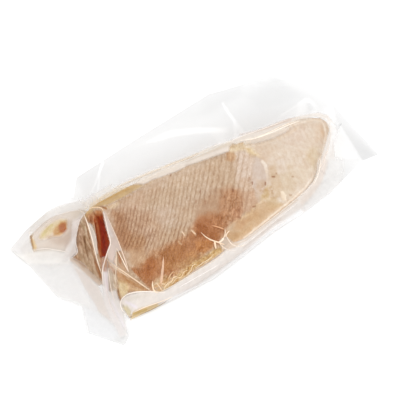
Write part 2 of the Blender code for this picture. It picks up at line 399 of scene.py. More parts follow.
# Outlines that several tables share.
THIN_END = ((249, 141), (300, 119), (318, 115), (329, 120), (332, 134), (330, 150), (316, 180), (306, 191),
            (284, 204), (270, 203), (262, 199), (262, 190), (268, 184), (270, 174), (268, 164), (262, 156),
            (255, 149))
BACK_FAT = ((88, 207), (99, 198), (112, 190), (125, 184), (155, 172), (170, 167), (162, 173), (148, 180),
            (137, 187), (129, 193), (108, 204), (98, 207))
CORNER_FAT = ((226, 150), (231, 144), (241, 140), (250, 142), (257, 148), (264, 156), (258, 157), (250, 151),
              (241, 149), (233, 152))
TAN_BAND = ((224, 240), (227, 231), (259, 205), (270, 201), (282, 203), (292, 195), (301, 196), (296, 211),
            (282, 223), (244, 246), (228, 248))
UNSTRIPED_PATCH = ((200, 204), (223, 196), (225, 208), (202, 225), (194, 222), (195, 211))

# On the loin: red, green and blue.
FLESH, HIDDEN_FLESH = (208, 183, 160), (222, 196, 170)
LOIN_MARKS = (
    # the banded face
    ("area", 18, 0.9, (193, 156, 127), (108, 208), (130, 203), (150, 210), (160, 226), (158, 246),
     (140, 254), (122, 252), (112, 232)),
    ("area", 7, 0.9, (182, 138, 104), (112, 209), (122, 211), (134, 240), (128, 250), (121, 246),
     (116, 235)),
    ("area", 8, 0.9, (183, 139, 102), (126, 236), (142, 234), (148, 240), (144, 254), (130, 252)),
    ("area", 8, 0.9, (205, 173, 145), (148, 222), (162, 220), (164, 244), (156, 258), (147, 252)),
    ("area", 8, 0.8, (198, 166, 136), (160, 234), (178, 226), (192, 224), (190, 238), (176, 246),
     (160, 250)),
    ("area", 12, 0.8, (204, 177, 150), (135, 200), (165, 185), (200, 172), (206, 180), (200, 195),
     (170, 204), (140, 208)),
    ("area", 8, 0.8, (214, 189, 164), (168, 178), (215, 160), (212, 170), (180, 186), (168, 186)),
    ("area", 10, 0.8, (206, 178, 150), (205, 162), (226, 155), (238, 166), (238, 185), (225, 190),
     (208, 186)),
    ("area", 6, 0.7, (212, 181, 157), (126, 196), (142, 190), (146, 203), (134, 210), (124, 206)),
    ("area", 8, 0.6, (201, 170, 142), (118, 197), (160, 182), (160, 196), (126, 209)),
    ("area", 8, 0.6, (201, 171, 142), (176, 207), (196, 201), (196, 220), (178, 224)),
    # painted shadow: the darker streak that the strip of film beside it casts on the flesh
    ("area", 6, 0.6, (174, 126, 90), (116, 229), (128, 230), (131, 247), (121, 246)),
    ("area", 7, 0.8, (208, 182, 160), (159, 208), (168, 206), (170, 220), (162, 226), (156, 218)),
    ("area", 6, 0.7, (205, 174, 150), (143, 226), (154, 225), (155, 240), (146, 241)),
    ("area", 6, 0.9, (199, 162, 128), (128, 250), (142, 248), (148, 258), (140, 268), (130, 264)),
    ("area", 10, 0.9, (225, 204, 187), (236, 152), (248, 152), (258, 166), (259, 190), (250, 200),
     (240, 192), (236, 172)),
    ("area", 7, 0.8, (210, 180, 154), (238, 180), (248, 178), (254, 188), (256, 196), (240, 196)),
    ("area", 6, 0.85, (208, 172, 143), (240, 190), (256, 192), (258, 204), (250, 212), (241, 212)),
    # a darker patch without stripes
    ("area", 9, 0.85, (188, 151, 120), (200, 200), (211, 191), (224, 187), (226, 206), (202, 225),
     (194, 222), (195, 211)),
    ("area", 8, 0.95, (192, 146, 111), (221, 191), (230, 186), (239, 189), (244, 199), (239, 221),
     (229, 223), (221, 216), (219, 204)),
    ("area", 5, 0.6, (184, 137, 102), (219, 206), (228, 204), (230, 216), (222, 220)),
    ("area", 4, 0.7, (204, 160, 118), (226, 152), (232, 150), (236, 156), (232, 162), (226, 160)),
    # blood along the near side
    ("area", 11, 1, (186, 133, 94), (126, 272), (135, 268), (168, 244), (186, 236), (199, 218), (210, 213),
     (222, 212), (229, 222), (222, 242), (203, 250), (194, 256), (188, 264), (152, 291), (140, 284)),
    ("area", 8, 1, (174, 117, 78), (197, 219), (206, 215), (213, 221), (216, 229), (213, 237), (203, 241),
     (195, 235), (194, 226)),
    ("area", 4, 0.6, (162, 98, 54), (197, 225), (202, 222), (207, 227), (205, 235), (199, 236)),
    ("area", 4, 0.85, (186, 126, 76), (196, 241), (206, 239), (214, 240), (213, 248), (204, 253),
     (196, 250)),
    ("area", 4, 0.7, (186, 131, 82), (185, 254), (194, 250), (199, 252), (197, 259), (188, 262)),
    ("area", 5, 0.6, (197, 150, 106), (170, 262), (180, 258), (192, 258), (192, 264), (180, 268),
     (170, 268)),
    ("area", 5, 0.8, (196, 152, 116), (149, 251), (158, 248), (160, 255), (152, 261), (146, 258)),
    ("area", 4, 0.6, (160, 98, 54), (208, 231), (216, 230), (221, 236), (214, 241), (208, 238)),
    ("area", 4, 0.6, (170, 108, 64), (128, 268), (136, 266), (140, 274), (134, 280), (128, 275)),
    ("area", 4, 0.6, (166, 100, 56), (146, 258), (152, 256), (154, 268), (148, 278), (143, 274)),
    ("area", 5, 0.5, (182, 128, 82), (164, 258), (176, 254), (182, 256), (172, 266), (165, 270)),
    ("area", 4, 0.6, (178, 124, 74), (186, 262), (196, 255), (206, 250), (204, 256), (187, 267)),
    ("area", 2.4, 0.6, (206, 162, 126), (161, 262), (163.6, 258), (163.6, 284), (160, 286)),
    ("area", 6, 0.8, (178, 116, 72), (140, 272), (146, 261), (153, 256), (158, 262), (154, 274), (146, 281)),
    ("area", 6, 0.6, (176, 121, 76), (160, 252), (172, 246), (186, 244), (188, 252), (172, 262), (162, 262)),
    ("area", 4, 0.7, (180, 126, 80), (162, 264), (170, 262), (172, 270), (164, 272)),
    ("area", 5, 0.7, (204, 164, 120), (176, 266), (190, 257), (196, 258), (196, 266), (184, 272)),
    ("area", 3, 0.6, (203, 153, 119), (232, 208), (240, 206), (244, 212), (238, 219), (232, 216)),
    ("line", 4, 0.5, (216, 184, 146), (176, 277), (188, 268), (200, 260)),
    # tan band below the thin end
    ("area", 9, 0.95, (213, 182, 148), *TAN_BAND),
    ("area", 5, 0.3, (200, 160, 114), (234, 234), (262, 212), (274, 206), (276, 210), (238, 238)),
    ("area", 6, 0.6, (216, 186, 146), (262, 200), (274, 197), (284, 202), (280, 208), (266, 206)),
    ("area", 5, 0.6, (199, 152, 108), (236, 221), (243, 217), (248, 221), (242, 229), (234, 229)),
    ("area", 5, 0.7, (203, 163, 120), (245, 214), (256, 208), (262, 212), (256, 220), (246, 224)),
    ("area", 4, 0.8, (198, 160, 120), (226, 233), (234, 230), (240, 234), (234, 241), (227, 240)),
    ("area", 5, 0.6, (214, 180, 142), (254, 205), (266, 198), (276, 203), (272, 211), (258, 213)),
    ("area", 5, 0.8, (226, 202, 174), (266, 214), (276, 208), (286, 204), (291, 200), (292, 206),
     (268, 222)),
    ("area", 5, 0.3, (203, 160, 112), (226, 240), (238, 232), (252, 226), (250, 233), (238, 242),
     (228, 244)),
    # yellow fat on the near edge, the back edge and beside the smooth patch
    ("area", 4, 0.95, (203, 168, 114), (158, 291), (166, 284), (199, 259), (220, 246), (226, 246),
     (220, 253), (196, 268), (163, 292)),
    ("area", 5, 0.85, (222, 199, 168), (150, 284), (157, 278), (166, 275), (174, 276), (169, 286),
     (160, 291), (153, 291)),
    ("area", 4, 0.7, (218, 188, 144), (170, 285), (190, 270), (194, 268), (186, 276), (176, 284)),
    ("area", 4, 0.7, (194, 150, 100), (159, 283), (164, 276), (171, 276), (168, 283)),
    ("area", 3, 0.8, (212, 172, 124), (152, 288), (158, 283), (163, 285), (161, 291), (155, 293)),
    ("area", 3, 0.95, (205, 168, 118), *BACK_FAT),
    ("area", 4, 0.6, (220, 194, 164), (140, 178), (156, 171), (220, 149), (226, 150), (214, 157),
     (142, 186)),
    ("area", 5, 0.9, (238, 218, 186), *CORNER_FAT),
    ("area", 4, 0.5, (228, 200, 150), (247, 147), (252, 149), (256, 155), (251, 156), (247, 152)),
    # the thin end's pale skin
    ("area", 5, 0.97, (230, 213, 195), *THIN_END),
    ("area", 10, 0.7, (228, 209, 193), (282, 128), (300, 122), (308, 130), (304, 142), (290, 146),
     (282, 138)),
    ("area", 8, 0.7, (224, 202, 180), (254, 143), (268, 138), (272, 152), (266, 160), (258, 152)),
    ("area", 8, 0.7, (227, 209, 187), (284, 176), (300, 166), (312, 168), (306, 182), (292, 190),
     (284, 186)),
    ("area", 9, 0.8, (222, 202, 177), (277, 165), (292, 163), (295, 184), (289, 196), (277, 196)),
    ("area", 6, 0.75, (213, 186, 156), (269, 166), (276, 164), (279, 178), (277, 198), (267, 198),
     (270, 184)),
    ("area", 5, 0.7, (219, 195, 172), (257, 149), (267, 150), (272, 162), (265, 163)),
    ("area", 7, 0.8, (219, 195, 167), (268, 184), (280, 180), (284, 190), (276, 200), (266, 198)),
    ("area", 4, 0.7, (207, 176, 128), (260, 186), (268, 184), (269, 198), (261, 199)),
    ("area", 6, 0.6, (230, 214, 201), (276, 160), (286, 158), (288, 170), (278, 174)),
    ("area", 6, 0.6, (221, 199, 166), (308, 148), (318, 146), (319, 160), (313, 168), (306, 160)),
    ("area", 6, 0.4, (226, 200, 174), (316, 124), (325, 122), (329, 132), (327, 142), (319, 146),
     (314, 138)),
    ("area", 3, 0.6, (214, 182, 150), (320, 129), (324, 127), (326, 133), (324, 139), (321, 137)),
    # pale rims where the film leaves the flesh: cream edges, lightened with painted light against the shade
    # there
    ("line", (2, 4), 0.7, (233, 216, 192), (88, 206), (110, 192), (140, 177), (200, 153), (228, 143)),
    ("line", 4, 0.75, (241, 231, 219), (244, 141), (300, 119), (316, 115.5), (328, 119), (331, 130)),
    ("line", 3.4, 0.7, (238, 229, 219), (331, 124), (331, 140), (328, 154), (317, 180), (306, 192),
     (292, 203)),
    ("line", 3, 0.8, (236, 222, 206), (306, 192), (278, 216), (262, 227), (246, 239), (232, 246)),
    ("line", 2, 0.75, (250, 236, 220), (244, 141.6), (254, 138.6), (266, 135.6), (304, 121), (314, 119.4),
     (321, 120.6), (324.8, 126), (325.6, 135), (324, 146), (320.6, 157), (312, 178), (305, 187.4),
     (296, 195.6), (259, 226), (244, 237.4)),
    ("line", 3, 0.7, (240, 223, 204), (246, 146.4), (259, 144.6), (273, 140.6), (287, 134.4), (298, 127.4)),
    # smooth pinkish patch with a bright right edge
    ("area", 5, 0.9, (215, 196, 182), (256, 157), (262, 160), (267, 167), (268, 176), (267, 184), (263, 192),
     (257, 196), (253, 188), (252, 176), (253, 165)),
    ("area", 6, 0.8, (212, 184, 158), (256, 178), (266, 180), (264, 192), (257, 196)),
    ("line", (3.2, 3), 0.85, (242, 228, 213), (262.6, 161), (265.4, 164.6), (266.8, 171)),
    ("line", (2.4, 1.2), 0.6, (232, 212, 190), (266.8, 171), (267.4, 178), (266, 185)),
    # cream lines and spots
    ("area", 1.6, 1, (250, 236, 216), (280.6, 191.4), (283.6, 190.6), (286.2, 195), (286, 199.8),
     (283, 200.4), (281, 196)),
    ("area", 4, 0.7, (213, 184, 145), (266, 199), (275, 197), (280, 204), (270, 208)),
    ("line", (1.2, 1.8), 0.75, (228, 202, 168), (271, 198), (264, 198.6), (260, 202), (255.5, 205),
     (252, 209.5)),
    ("line", (2, 1), 0.7, (222, 190, 150), (252, 209), (252, 213), (243, 217), (240, 221)),
    ("line", 1.2, 0.6, (220, 186, 148), (238, 220), (233, 222), (229, 227)),
    ("line", 1.5, 0.9, (228, 204, 176), (182, 231.5), (183.4, 232.4), (184.6, 235)),
    ("line", (1.2, 2.4), 0.8, (222, 194, 164), (190, 230), (193, 230.6), (195.4, 234)),
    ("line", 1.4, 0.8, (218, 188, 156), (178.6, 241), (181, 243.5)),
    ("area", 2.4, 0.9, (222, 196, 164), (106, 207), (112, 203.5), (120, 200.5), (119, 204), (112, 208.6)),
    ("line", 1.2, 0.5, (206, 165, 120), (174, 262), (174.6, 270)),
    ("area", 2, 0.6, (220, 180, 140), (173, 272), (177, 270), (178, 274), (174, 275)),
    ("area", 2, 0.5, (226, 196, 160), (180, 270), (184, 268), (185, 272), (181, 274)),
    ("line", 1.8, 0.7, (168, 120, 60), (185, 274), (188, 270), (189, 267)),
    # the cut end
    ("area", 2, 1, (192, 163, 136), (82, 214), (92, 210), (103, 209), (106, 222), (111, 236), (118, 246),
     (126, 262), (136, 274), (151, 290), (140, 312), (110, 312), (62, 262), (60, 230), (74, 214)),
    ("area", 5, 0.7, (186, 152, 126), (76, 226), (83, 224), (84, 240), (80, 252), (76, 248)),
    ("area", 5, 0.8, (182, 148, 116), (82, 234), (88, 236), (90, 250), (85, 256), (81, 246)),
    ("line", (2, 3), 0.6, (206, 184, 158), (80, 218), (83, 224), (86, 232)),
    ("line", (5, 3), 0.7, (188, 160, 130), (80, 256), (92, 268), (96, 274)),
    ("line", 2.2, 0.8, (212, 190, 164), (72, 259), (85, 272), (92, 277), (101, 285)),
    ("line", (1.2, 2.8), 0.7, (158, 114, 78), (87, 226), (90, 242), (95.5, 262), (99, 270), (101.5, 278)),
    ("line", (2.2, 1), 0.85, (118, 80, 46), (84, 236), (85.6, 248)),
    ("line", 1.6, 0.6, (132, 94, 60), (86.4, 250), (88, 256)),
    ("line", (1.2, 1.6), 0.4, (150, 112, 84), (77.4, 230), (76.8, 240), (78, 250)),
    ("line", 2, 0.5, (160, 132, 90), (83, 224.5), (84.4, 227.5)),
    ("area", 2.5, 0.7, (186, 142, 106), (72, 259), (77.5, 255), (81, 259), (78, 263)),
    ("line", (2, 2.4), 0.7, (154, 96, 50), (95, 262), (97, 268), (101, 277)),
    ("area", 2, 0.9, (200, 166, 118), (83, 216), (84, 209.5), (90, 206.5), (95, 207.5), (91, 213),
     (87, 217)),
    ("line", (1.6, 2), 0.9, (162, 108, 60), (92, 207), (97, 204.6), (102, 205.8), (106, 208.4)),
    ("area", 3, 0.95, (190, 138, 98), (87, 214), (94, 211.5), (98, 212), (98, 226), (93, 224), (88, 220)),
    ("line", 3, 0.7, (146, 82, 44), (91, 217), (91.6, 221)),
    ("area", 2, 0.8, (186, 120, 74), (95, 210.5), (101, 210), (103, 213), (97, 214.5)),
    ("area", 1.8, 1, (142, 52, 6), (95, 214), (102.6, 213), (110.4, 242), (108.6, 248), (105.2, 256.5),
     (99.6, 255), (95.2, 226), (93.6, 219)),
    ("area", 3, 0.8, (128, 26, 0), (99, 216), (103, 220), (106, 232), (107, 246), (103, 254), (101, 244)),
    ("line", 2.4, 0.65, (190, 126, 90), (95.4, 216), (97.6, 226), (99, 238), (100, 252)),
    ("area", 1.8, 0.85, (170, 118, 84), (99.6, 256), (105, 256), (102, 270), (100.6, 264)),
    ("area", 2, 0.8, (192, 158, 134), (106, 258), (112, 263), (117, 269), (116, 276), (109, 270),
     (106, 264)),
    ("area", 2.5, 0.8, (214, 198, 178), (108, 270), (116, 274), (117, 292), (112, 290), (108, 280)),
    ("area", 2, 0.85, (226, 207, 194), (112.6, 255), (116.4, 252), (116.8, 264), (121, 270.4), (115, 267)),
    ("area", 1.4, 0.75, (176, 120, 80), (117.6, 251.6), (119.4, 252), (121.8, 258), (121.4, 264),
     (119, 262)),
    ("area", 1.8, 0.7, (202, 160, 124), (121, 262), (127, 270), (124, 270), (120, 266)),
    ("area", 2.5, 0.9, (194, 154, 114), (117, 270), (134, 279), (150, 290), (140, 292.6), (128, 292),
     (118, 281)),
    ("line", (3.4, 2), 0.6, (180, 128, 80), (118, 273.6), (127, 280), (136, 285), (147, 290.4)),
    ("line", (2, 1.2), 0.6, (222, 190, 150), (126, 287), (134, 289), (142, 290.4)),
    ("area", 4, 0.9, (220, 198, 156), (119, 281), (127, 283), (128, 289), (123, 298), (119, 292)),
    ("line", 1.8, 0.6, (186, 144, 86), (118.5, 280), (122, 281), (126, 281.4)),
    ("line", (1.6, 3.4), 0.9, (166, 122, 74), (118, 289), (119.5, 299)),
    ("area", 2.5, 0.9, (214, 200, 160), (121, 303), (127, 304), (132, 311), (130, 317), (124, 312)),
)
# Dark specks on the loin: where they begin and end, and how wide and strong they are.
SPECK_COLOUR = (136, 84, 52)
SPECKS = (
    ((252.3, 181.5), (252.3, 183.5), 1.2, 0.68), ((265.5, 181.5), (265.5, 184), 1.2, 0.75),
    ((272.4, 176.2), (274.4, 176.4), 1.4, 0.68), ((292.2, 176.5), (293.4, 176.6), 1.1, 0.45),
    ((224.3, 195.5), (224.5, 196.6), 1.4, 0.6), ((232.8, 189), (233, 191), 1.6, 0.52),
    ((205, 200.5), (205, 203), 1.2, 0.45), ((253, 206.4), (255, 206), 1.4, 0.6),
    ((242.4, 202), (242.3, 206), 1, 0.52), ((237.5, 208), (238, 211), 1.2, 0.45),
    ((237, 216.6), (240, 217.4), 1.7, 0.45), ((290, 194.3), (291.5, 194.2), 1.5, 0.3),
    ((272, 190), (272.3, 192), 1.3, 0.22), ((171, 173.5), (170.8, 175.4), 1.3, 0.52),
    ((135.3, 205.5), (135.2, 208.5), 1.1, 0.6), ((149.2, 234), (149, 236), 1.2, 0.52),
    ((158.4, 238.6), (158.2, 240.4), 1.2, 0.45), ((249, 177), (248.4, 180.5), 1, 0.38),
    ((276, 172.6), (276.2, 173.6), 1, 0.38), ((196, 200), (196, 202), 1.1, 0.45),
    ((200.6, 190), (200.6, 193), 1.1, 0.38), ((120, 216), (119.6, 219), 1.2, 0.45),
    ((218, 231), (219.4, 231.6), 1.7, 0.45), ((212, 214), (212, 216), 1, 0.3),
)
# On the belly strip: red, green and blue.
STRIP_FLESH = (234, 220, 204)
STRIP_MARKS = (
    ("area", 4.5, 0.9, (221, 200, 154), (39, 237), (43, 231), (49, 226), (62, 219), (67, 221), (66, 226),
     (58, 228), (46, 237), (42, 239)),
    ("line", 2.6, 0.7, (208, 190, 128), (43, 235), (47, 229), (52, 225)),
    ("area", 4, 1, (203, 154, 92), (53, 231), (57, 225), (61, 221), (66, 221), (67, 227), (64, 232),
     (59, 236), (54, 236)),
    ("area", 3, 1, (176, 96, 22), (58.6, 225), (62, 222.6), (66.6, 223.6), (67.4, 229), (64, 233.4),
     (59.4, 232)),
    ("area", 4, 0.9, (200, 170, 143), (66, 221), (71, 219), (76, 226), (76, 240), (70, 252), (64, 246),
     (67, 234)),
    ("area", 2, 0.9, (232, 206, 160), (31.5, 238), (34.5, 240), (37, 247), (35, 250), (32.5, 247)),
    ("area", 5, 0.8, (204, 172, 140), (47, 235), (58, 237), (68, 232), (70, 242), (60, 245), (48, 241)),
    ("line", (1.2, 2.2), 0.8, (170, 120, 64), (30.2, 232.5), (31.2, 240), (33, 248)),
)
# On the film: red, green and blue of its milkiness, and how milky it is from 0 to 1.
# Some of this milkiness is painted light: opaque white laid over shade, and a painted reflection past the thin
# end.
CLEAR = (240, 238, 236, 0.0)
FILM_MARKS = (
    # flaps at the left
    ("area", 6, 1, (242, 240, 238, 0.6), (9, 252), (52, 249), (70, 252), (71, 262), (84, 290), (98, 312),
     (104, 330), (82, 306), (57, 297), (30, 268)),
    ("area", 6, 1, (246, 246, 247, 0.45), (82, 306), (98, 312), (128, 335), (124, 347), (88, 334)),
    ("area", 4, 0.7, (234, 233, 230, 0.5), (112, 341), (122, 333), (132, 337), (128, 352), (117, 349)),
    ("area", 4, 1, (236, 228, 222, 0.5), (20, 242), (29, 229), (40, 218), (55, 210), (72, 205), (86, 203),
     (84, 212), (72, 236), (70, 252), (52, 249), (34, 250)),
    ("line", (5, 8), 0.9, (234, 229, 224, 0.75), (27, 232), (38, 221.6), (50, 214), (60, 209.4),
     (84, 203.4)),
    ("area", 4, 0.8, (231, 222, 211, 0.75), (82, 208), (84, 201), (93, 194.5), (104, 188), (112, 184),
     (112, 188.6), (104, 193), (94, 200.4)),
    ("area", 3, 1, (234, 226, 220, 0.05), (38, 239), (42, 230), (50, 223), (60, 218), (68, 219), (67, 229),
     (61, 236), (52, 237), (44, 240)),
    ("area", 2.4, 1, (238, 235, 233, 0.92), (10, 250), (20, 236), (30, 224), (31, 232), (32.5, 240),
     (34, 252), (20, 254)),
    ("line", (3, 4), 1, (240, 222, 196, 0.05), (31, 232), (32, 240), (35, 249)),
    # milky film, made opaque with painted light to hide the shade below the crease
    ("area", 4, 1, (248, 245, 241, 0.9), (14, 254), (34, 252), (52, 251), (70, 254), (70, 264), (28, 264)),
    ("area", 3, 1, (233, 224, 217, 0.8), (69, 262), (75, 265), (82, 270.4), (90, 278), (100, 288.4),
     (106, 304), (112, 323), (99, 312), (86, 291), (76, 273)),
    ("line", (2, 3), 0.6, (236, 234, 234, 0.6), (70, 262), (84, 289), (96, 308)),
    # edge of the film over the brown face
    # milky film, made opaque with painted light to hide the shade in the hollow beneath it
    ("area", 2.4, 1, (230, 220, 214, 0.94), (64, 257), (66.4, 247), (71, 239), (72, 226), (73.4, 217),
     (79, 211), (85, 213), (80, 219), (77.6, 227), (76, 236), (75.8, 246), (77, 252), (71, 258)),
    ("line", (7, 2), 0.8, (238, 234, 231, 0.93), (65, 259), (68, 251), (71, 246), (74, 240)),
    ("line", (3.6, 5), 0.85, (202, 176, 152, 0.9), (72, 259.6), (84, 269), (99, 283)),
    ("line", (1.6, 2.4), 0.7, (160, 122, 90, 0.9), (73, 258.6), (79, 262), (85, 266.4)),
    ("area", 4, 1, (228, 217, 205, 0.7), (82, 214), (88, 207), (80, 208), (70, 213), (74, 220)),
    # strips of film beside the first ridge and the dark red
    ("area", 1.8, 1, (223, 212, 200, 0.85), (88.5, 223), (91.6, 225), (95, 233), (96.4, 243), (97.6, 254),
     (96.6, 255), (93.5, 246), (90.5, 234)),
    ("area", 1.6, 1, (222, 204, 193, 0.9), (103, 211), (105.2, 213), (114.2, 232), (118, 241), (121.4, 250),
     (116.6, 251), (113, 261), (108, 258.5), (107.5, 252), (110.5, 243), (107.5, 233), (104.5, 221)),
    ("line", 2.4, 0.6, (226, 216, 212, 0.9), (107, 222), (109, 230), (112, 236)),
    ("line", (0.8, 4), 0.5, (226, 206, 196, 0.93), (113.4, 240), (113.4, 247), (112.6, 254), (111.6, 260)),
    ("area", 1.6, 1, (216, 200, 188, 0.8), (108, 258), (113, 262), (118, 267.5), (117, 270), (111, 265.5)),
    ("area", 2.5, 1, (240, 234, 231, 0.85), (102.6, 264), (106, 262), (108.5, 275), (109, 290), (112, 303),
     (118, 317), (127, 335), (120, 337), (112, 322), (105, 305), (102.4, 288)),
    ("area", 2, 0.9, (182, 138, 108, 0.88), (102.4, 257), (106.6, 258), (107.6, 266), (106.6, 272),
     (103, 271)),
    ("line", 1.8, 0.5, (226, 208, 214, 0.9), (105.4, 268), (106.6, 280), (108, 290)),
    ("area", 2.4, 1, (213, 199, 180, 0.5), (109.4, 268), (112, 270), (113, 284), (115, 296), (110, 292),
     (108.6, 280)),
    ("area", 3, 1, (238, 232, 228, 0.82), (108, 292), (116, 290), (119, 299), (122, 303), (127, 334),
     (118, 318), (111, 302)),
    ("line", (1.6, 2.4), 0.6, (247, 240, 247, 0.8), (112, 300), (117, 312), (124, 326)),
    # tent at the near left corner
    ("area", 2, 1, (240, 233, 227, 0.92), (120.5, 301), (124, 297), (130, 293.5), (140, 292), (165, 291),
     (172, 297), (160, 302.5), (146, 307.5), (137, 311), (131, 315), (128, 309), (122, 304)),
    ("area", 3, 0.7, (230, 222, 211, 0.9), (124, 299), (134, 296), (146, 293.6), (152, 295), (140, 298.6),
     (128, 301)),
    ("line", (2.2, 3), 0.7, (248, 240, 250, 0.95), (126, 302), (136, 307)),
    ("area", 2.4, 0.9, (204, 168, 122, 0.85), (155, 288), (162, 287), (165, 291.4), (158, 292.6)),
    ("area", 2.4, 1, (232, 221, 190, 0.7), (122.4, 307), (127, 306), (131, 311), (129.6, 316)),
    ("area", 1.8, 1, (228, 204, 160, 0.92), (133, 312), (142, 308), (156, 304), (170, 299), (174, 296.6),
     (172, 301), (147, 312.6), (130, 320)),
    ("line", 2.6, 0.8, (214, 184, 120, 0.85), (134, 313.5), (146, 309.6)),
    # along the near side, from the edge of the flesh outwards
    ("area", 2.4, 1, (238, 232, 227, 0.93), (157, 293.6), (166, 290.4), (176, 283.6), (190, 274.6),
     (204, 266), (216, 258), (226, 250), (232, 244), (246, 238.4), (272, 219), (298, 197.5), (306, 190),
     (314, 181), (318, 172), (321, 160), (329, 132), (333, 136), (336, 170), (334, 196), (305, 217),
     (274, 237), (254, 256), (217, 284), (181, 299), (174, 303), (158, 305)),
    # milky film, made brighter and more opaque with painted light to hide the shade on the near right flap
    ("area", 8, 1, (246, 244, 242, 0.8), (304, 206), (318, 190), (328, 158), (342, 160), (342, 182),
     (334, 197), (306, 220)),
    ("area", 3, 1, (241, 231, 223, 0.93), (298, 200), (308, 190), (316, 179), (320, 164), (324, 152),
     (328, 152), (326, 168), (322, 182), (312, 195), (302, 205)),
    # painted light: opaque white film along the near flap, laid over the shade that the loin casts there
    ("area", 3.5, 1, (255, 255, 255, 0.93), (164, 300.4), (197, 285.4), (215, 274), (249, 247.6),
     (273, 226.6), (301, 209), (308, 217), (276, 240), (256, 259), (219, 287), (182, 303), (170, 307)),
    ("line", 2.6, 0.8, (238, 231, 225, 0.95), (160, 294), (170, 290), (182, 283.6), (195, 275.4),
     (210, 266.4), (222, 258)),
    ("line", 2.4, 0.8, (240, 233, 227, 0.95), (242, 245), (250, 239.5), (262, 229.5), (290, 207.5)),
    ("line", 2, 0.7, (226, 210, 194, 0.9), (236, 244), (246, 240), (285, 209.5), (297, 199.8)),
    ("line", (2, 3.4), 0.5, (228, 218, 212, 0.85), (244, 247), (256, 238), (266, 229.5), (280, 219)),
    ("line", 1.6, 0.7, (240, 230, 218, 0.85), (318.6, 160), (317.4, 172), (313, 184)),
    ("line", 1.6, 0.5, (222, 214, 210, 0.8), (321, 171), (325, 173.5)),
    ("area", 2.4, 0.85, (229, 210, 191, 0.8), (220, 240), (225, 237.4), (229, 239), (233, 242), (240, 243.4),
     (236, 247), (228, 250), (222, 250)),
    # along the far edge
    ("area", 2.6, 1, (236, 226, 213, 0.72), (90, 204), (107, 191), (130, 179), (150, 170.5), (170, 163),
     (200, 151), (213, 145.5), (222, 143), (236, 138), (230, 146), (228, 151.5), (200, 161.5), (176, 169.5),
     (150, 177.5), (130, 184), (110, 194.5), (96, 203)),
    ("area", 3, 0.9, (224, 194, 142, 0.6), (85, 209), (92, 202), (114, 190.4), (126, 186), (138, 184),
     (144, 185.4), (136, 190.4), (118, 200), (108, 204.6), (92, 209)),
    ("line", 2.2, 0.45, (196, 150, 78, 0.75), (98, 203), (108, 198.6), (118, 193.6), (129, 188.6)),
    ("area", 3, 0.9, (250, 240, 228, 0.9), (132, 184), (140, 180), (166, 168.6), (182, 163.6), (186, 166.6),
     (176, 171.6), (152, 180), (144, 184)),
    # painted light: milky film over the flesh's rim below the thin end, laid over the shade there
    ("area", 3, 0.85, (240, 227, 213, 0.8), (244, 144.6), (258, 142.6), (272, 138.4), (286, 132), (290, 126),
     (276, 129.4), (260, 135.4), (246, 139.6)),
    ("area", 2.6, 0.9, (246, 237, 228, 0.88), (172, 166.6), (190, 160.4), (228, 146), (229, 150.6),
     (216, 154.6), (203, 159.6), (190, 163.6), (174, 168)),
    ("line", (2, 1.4), 0.8, (216, 194, 164, 0.6), (166, 166), (178, 161.2), (190, 157.4), (198, 153.6)),
    ("line", (1.4, 1.8), 0.6, (212, 190, 160, 0.5), (118, 187), (140, 177.4), (160, 169.6)),
    ("line", 1.2, 0.7, (216, 206, 194, 0.8), (204, 151.5), (213, 147.5), (223, 145)),
    ("area", 2.4, 1, (241, 233, 225, 0.85), (228, 142), (246, 134), (262, 128.5), (280, 121.5), (300, 115.5),
     (318, 112.5), (328, 115), (334, 124), (333, 138), (326.5, 120), (316, 116.5), (299, 119), (280, 126.5),
     (262, 135.5), (246, 140.5), (236, 144)),
    ("line", (2, 3.2), 0.8, (224, 208, 197, 0.85), (240, 134.6), (254, 131.8), (266, 128), (280, 122.5),
     (290, 119.8)),
    ("line", (1.6, 2.4), 0.8, (246, 237, 226, 0.9), (246, 138.6), (258, 137), (270, 133.2), (284, 127.4)),
    # painted reflection: the bright white strip just past the thin end and along its edge
    ("area", 2.5, 1, (252, 251, 250, 0.95), (330, 121), (336, 126), (337.6, 131), (335.6, 137), (331, 144),
     (330, 132)),
    ("line", (2, 3.4), 0.8, (250, 247, 244, 0.85), (326, 119), (330.6, 126), (331.4, 138), (330, 150),
     (327, 158)),
)
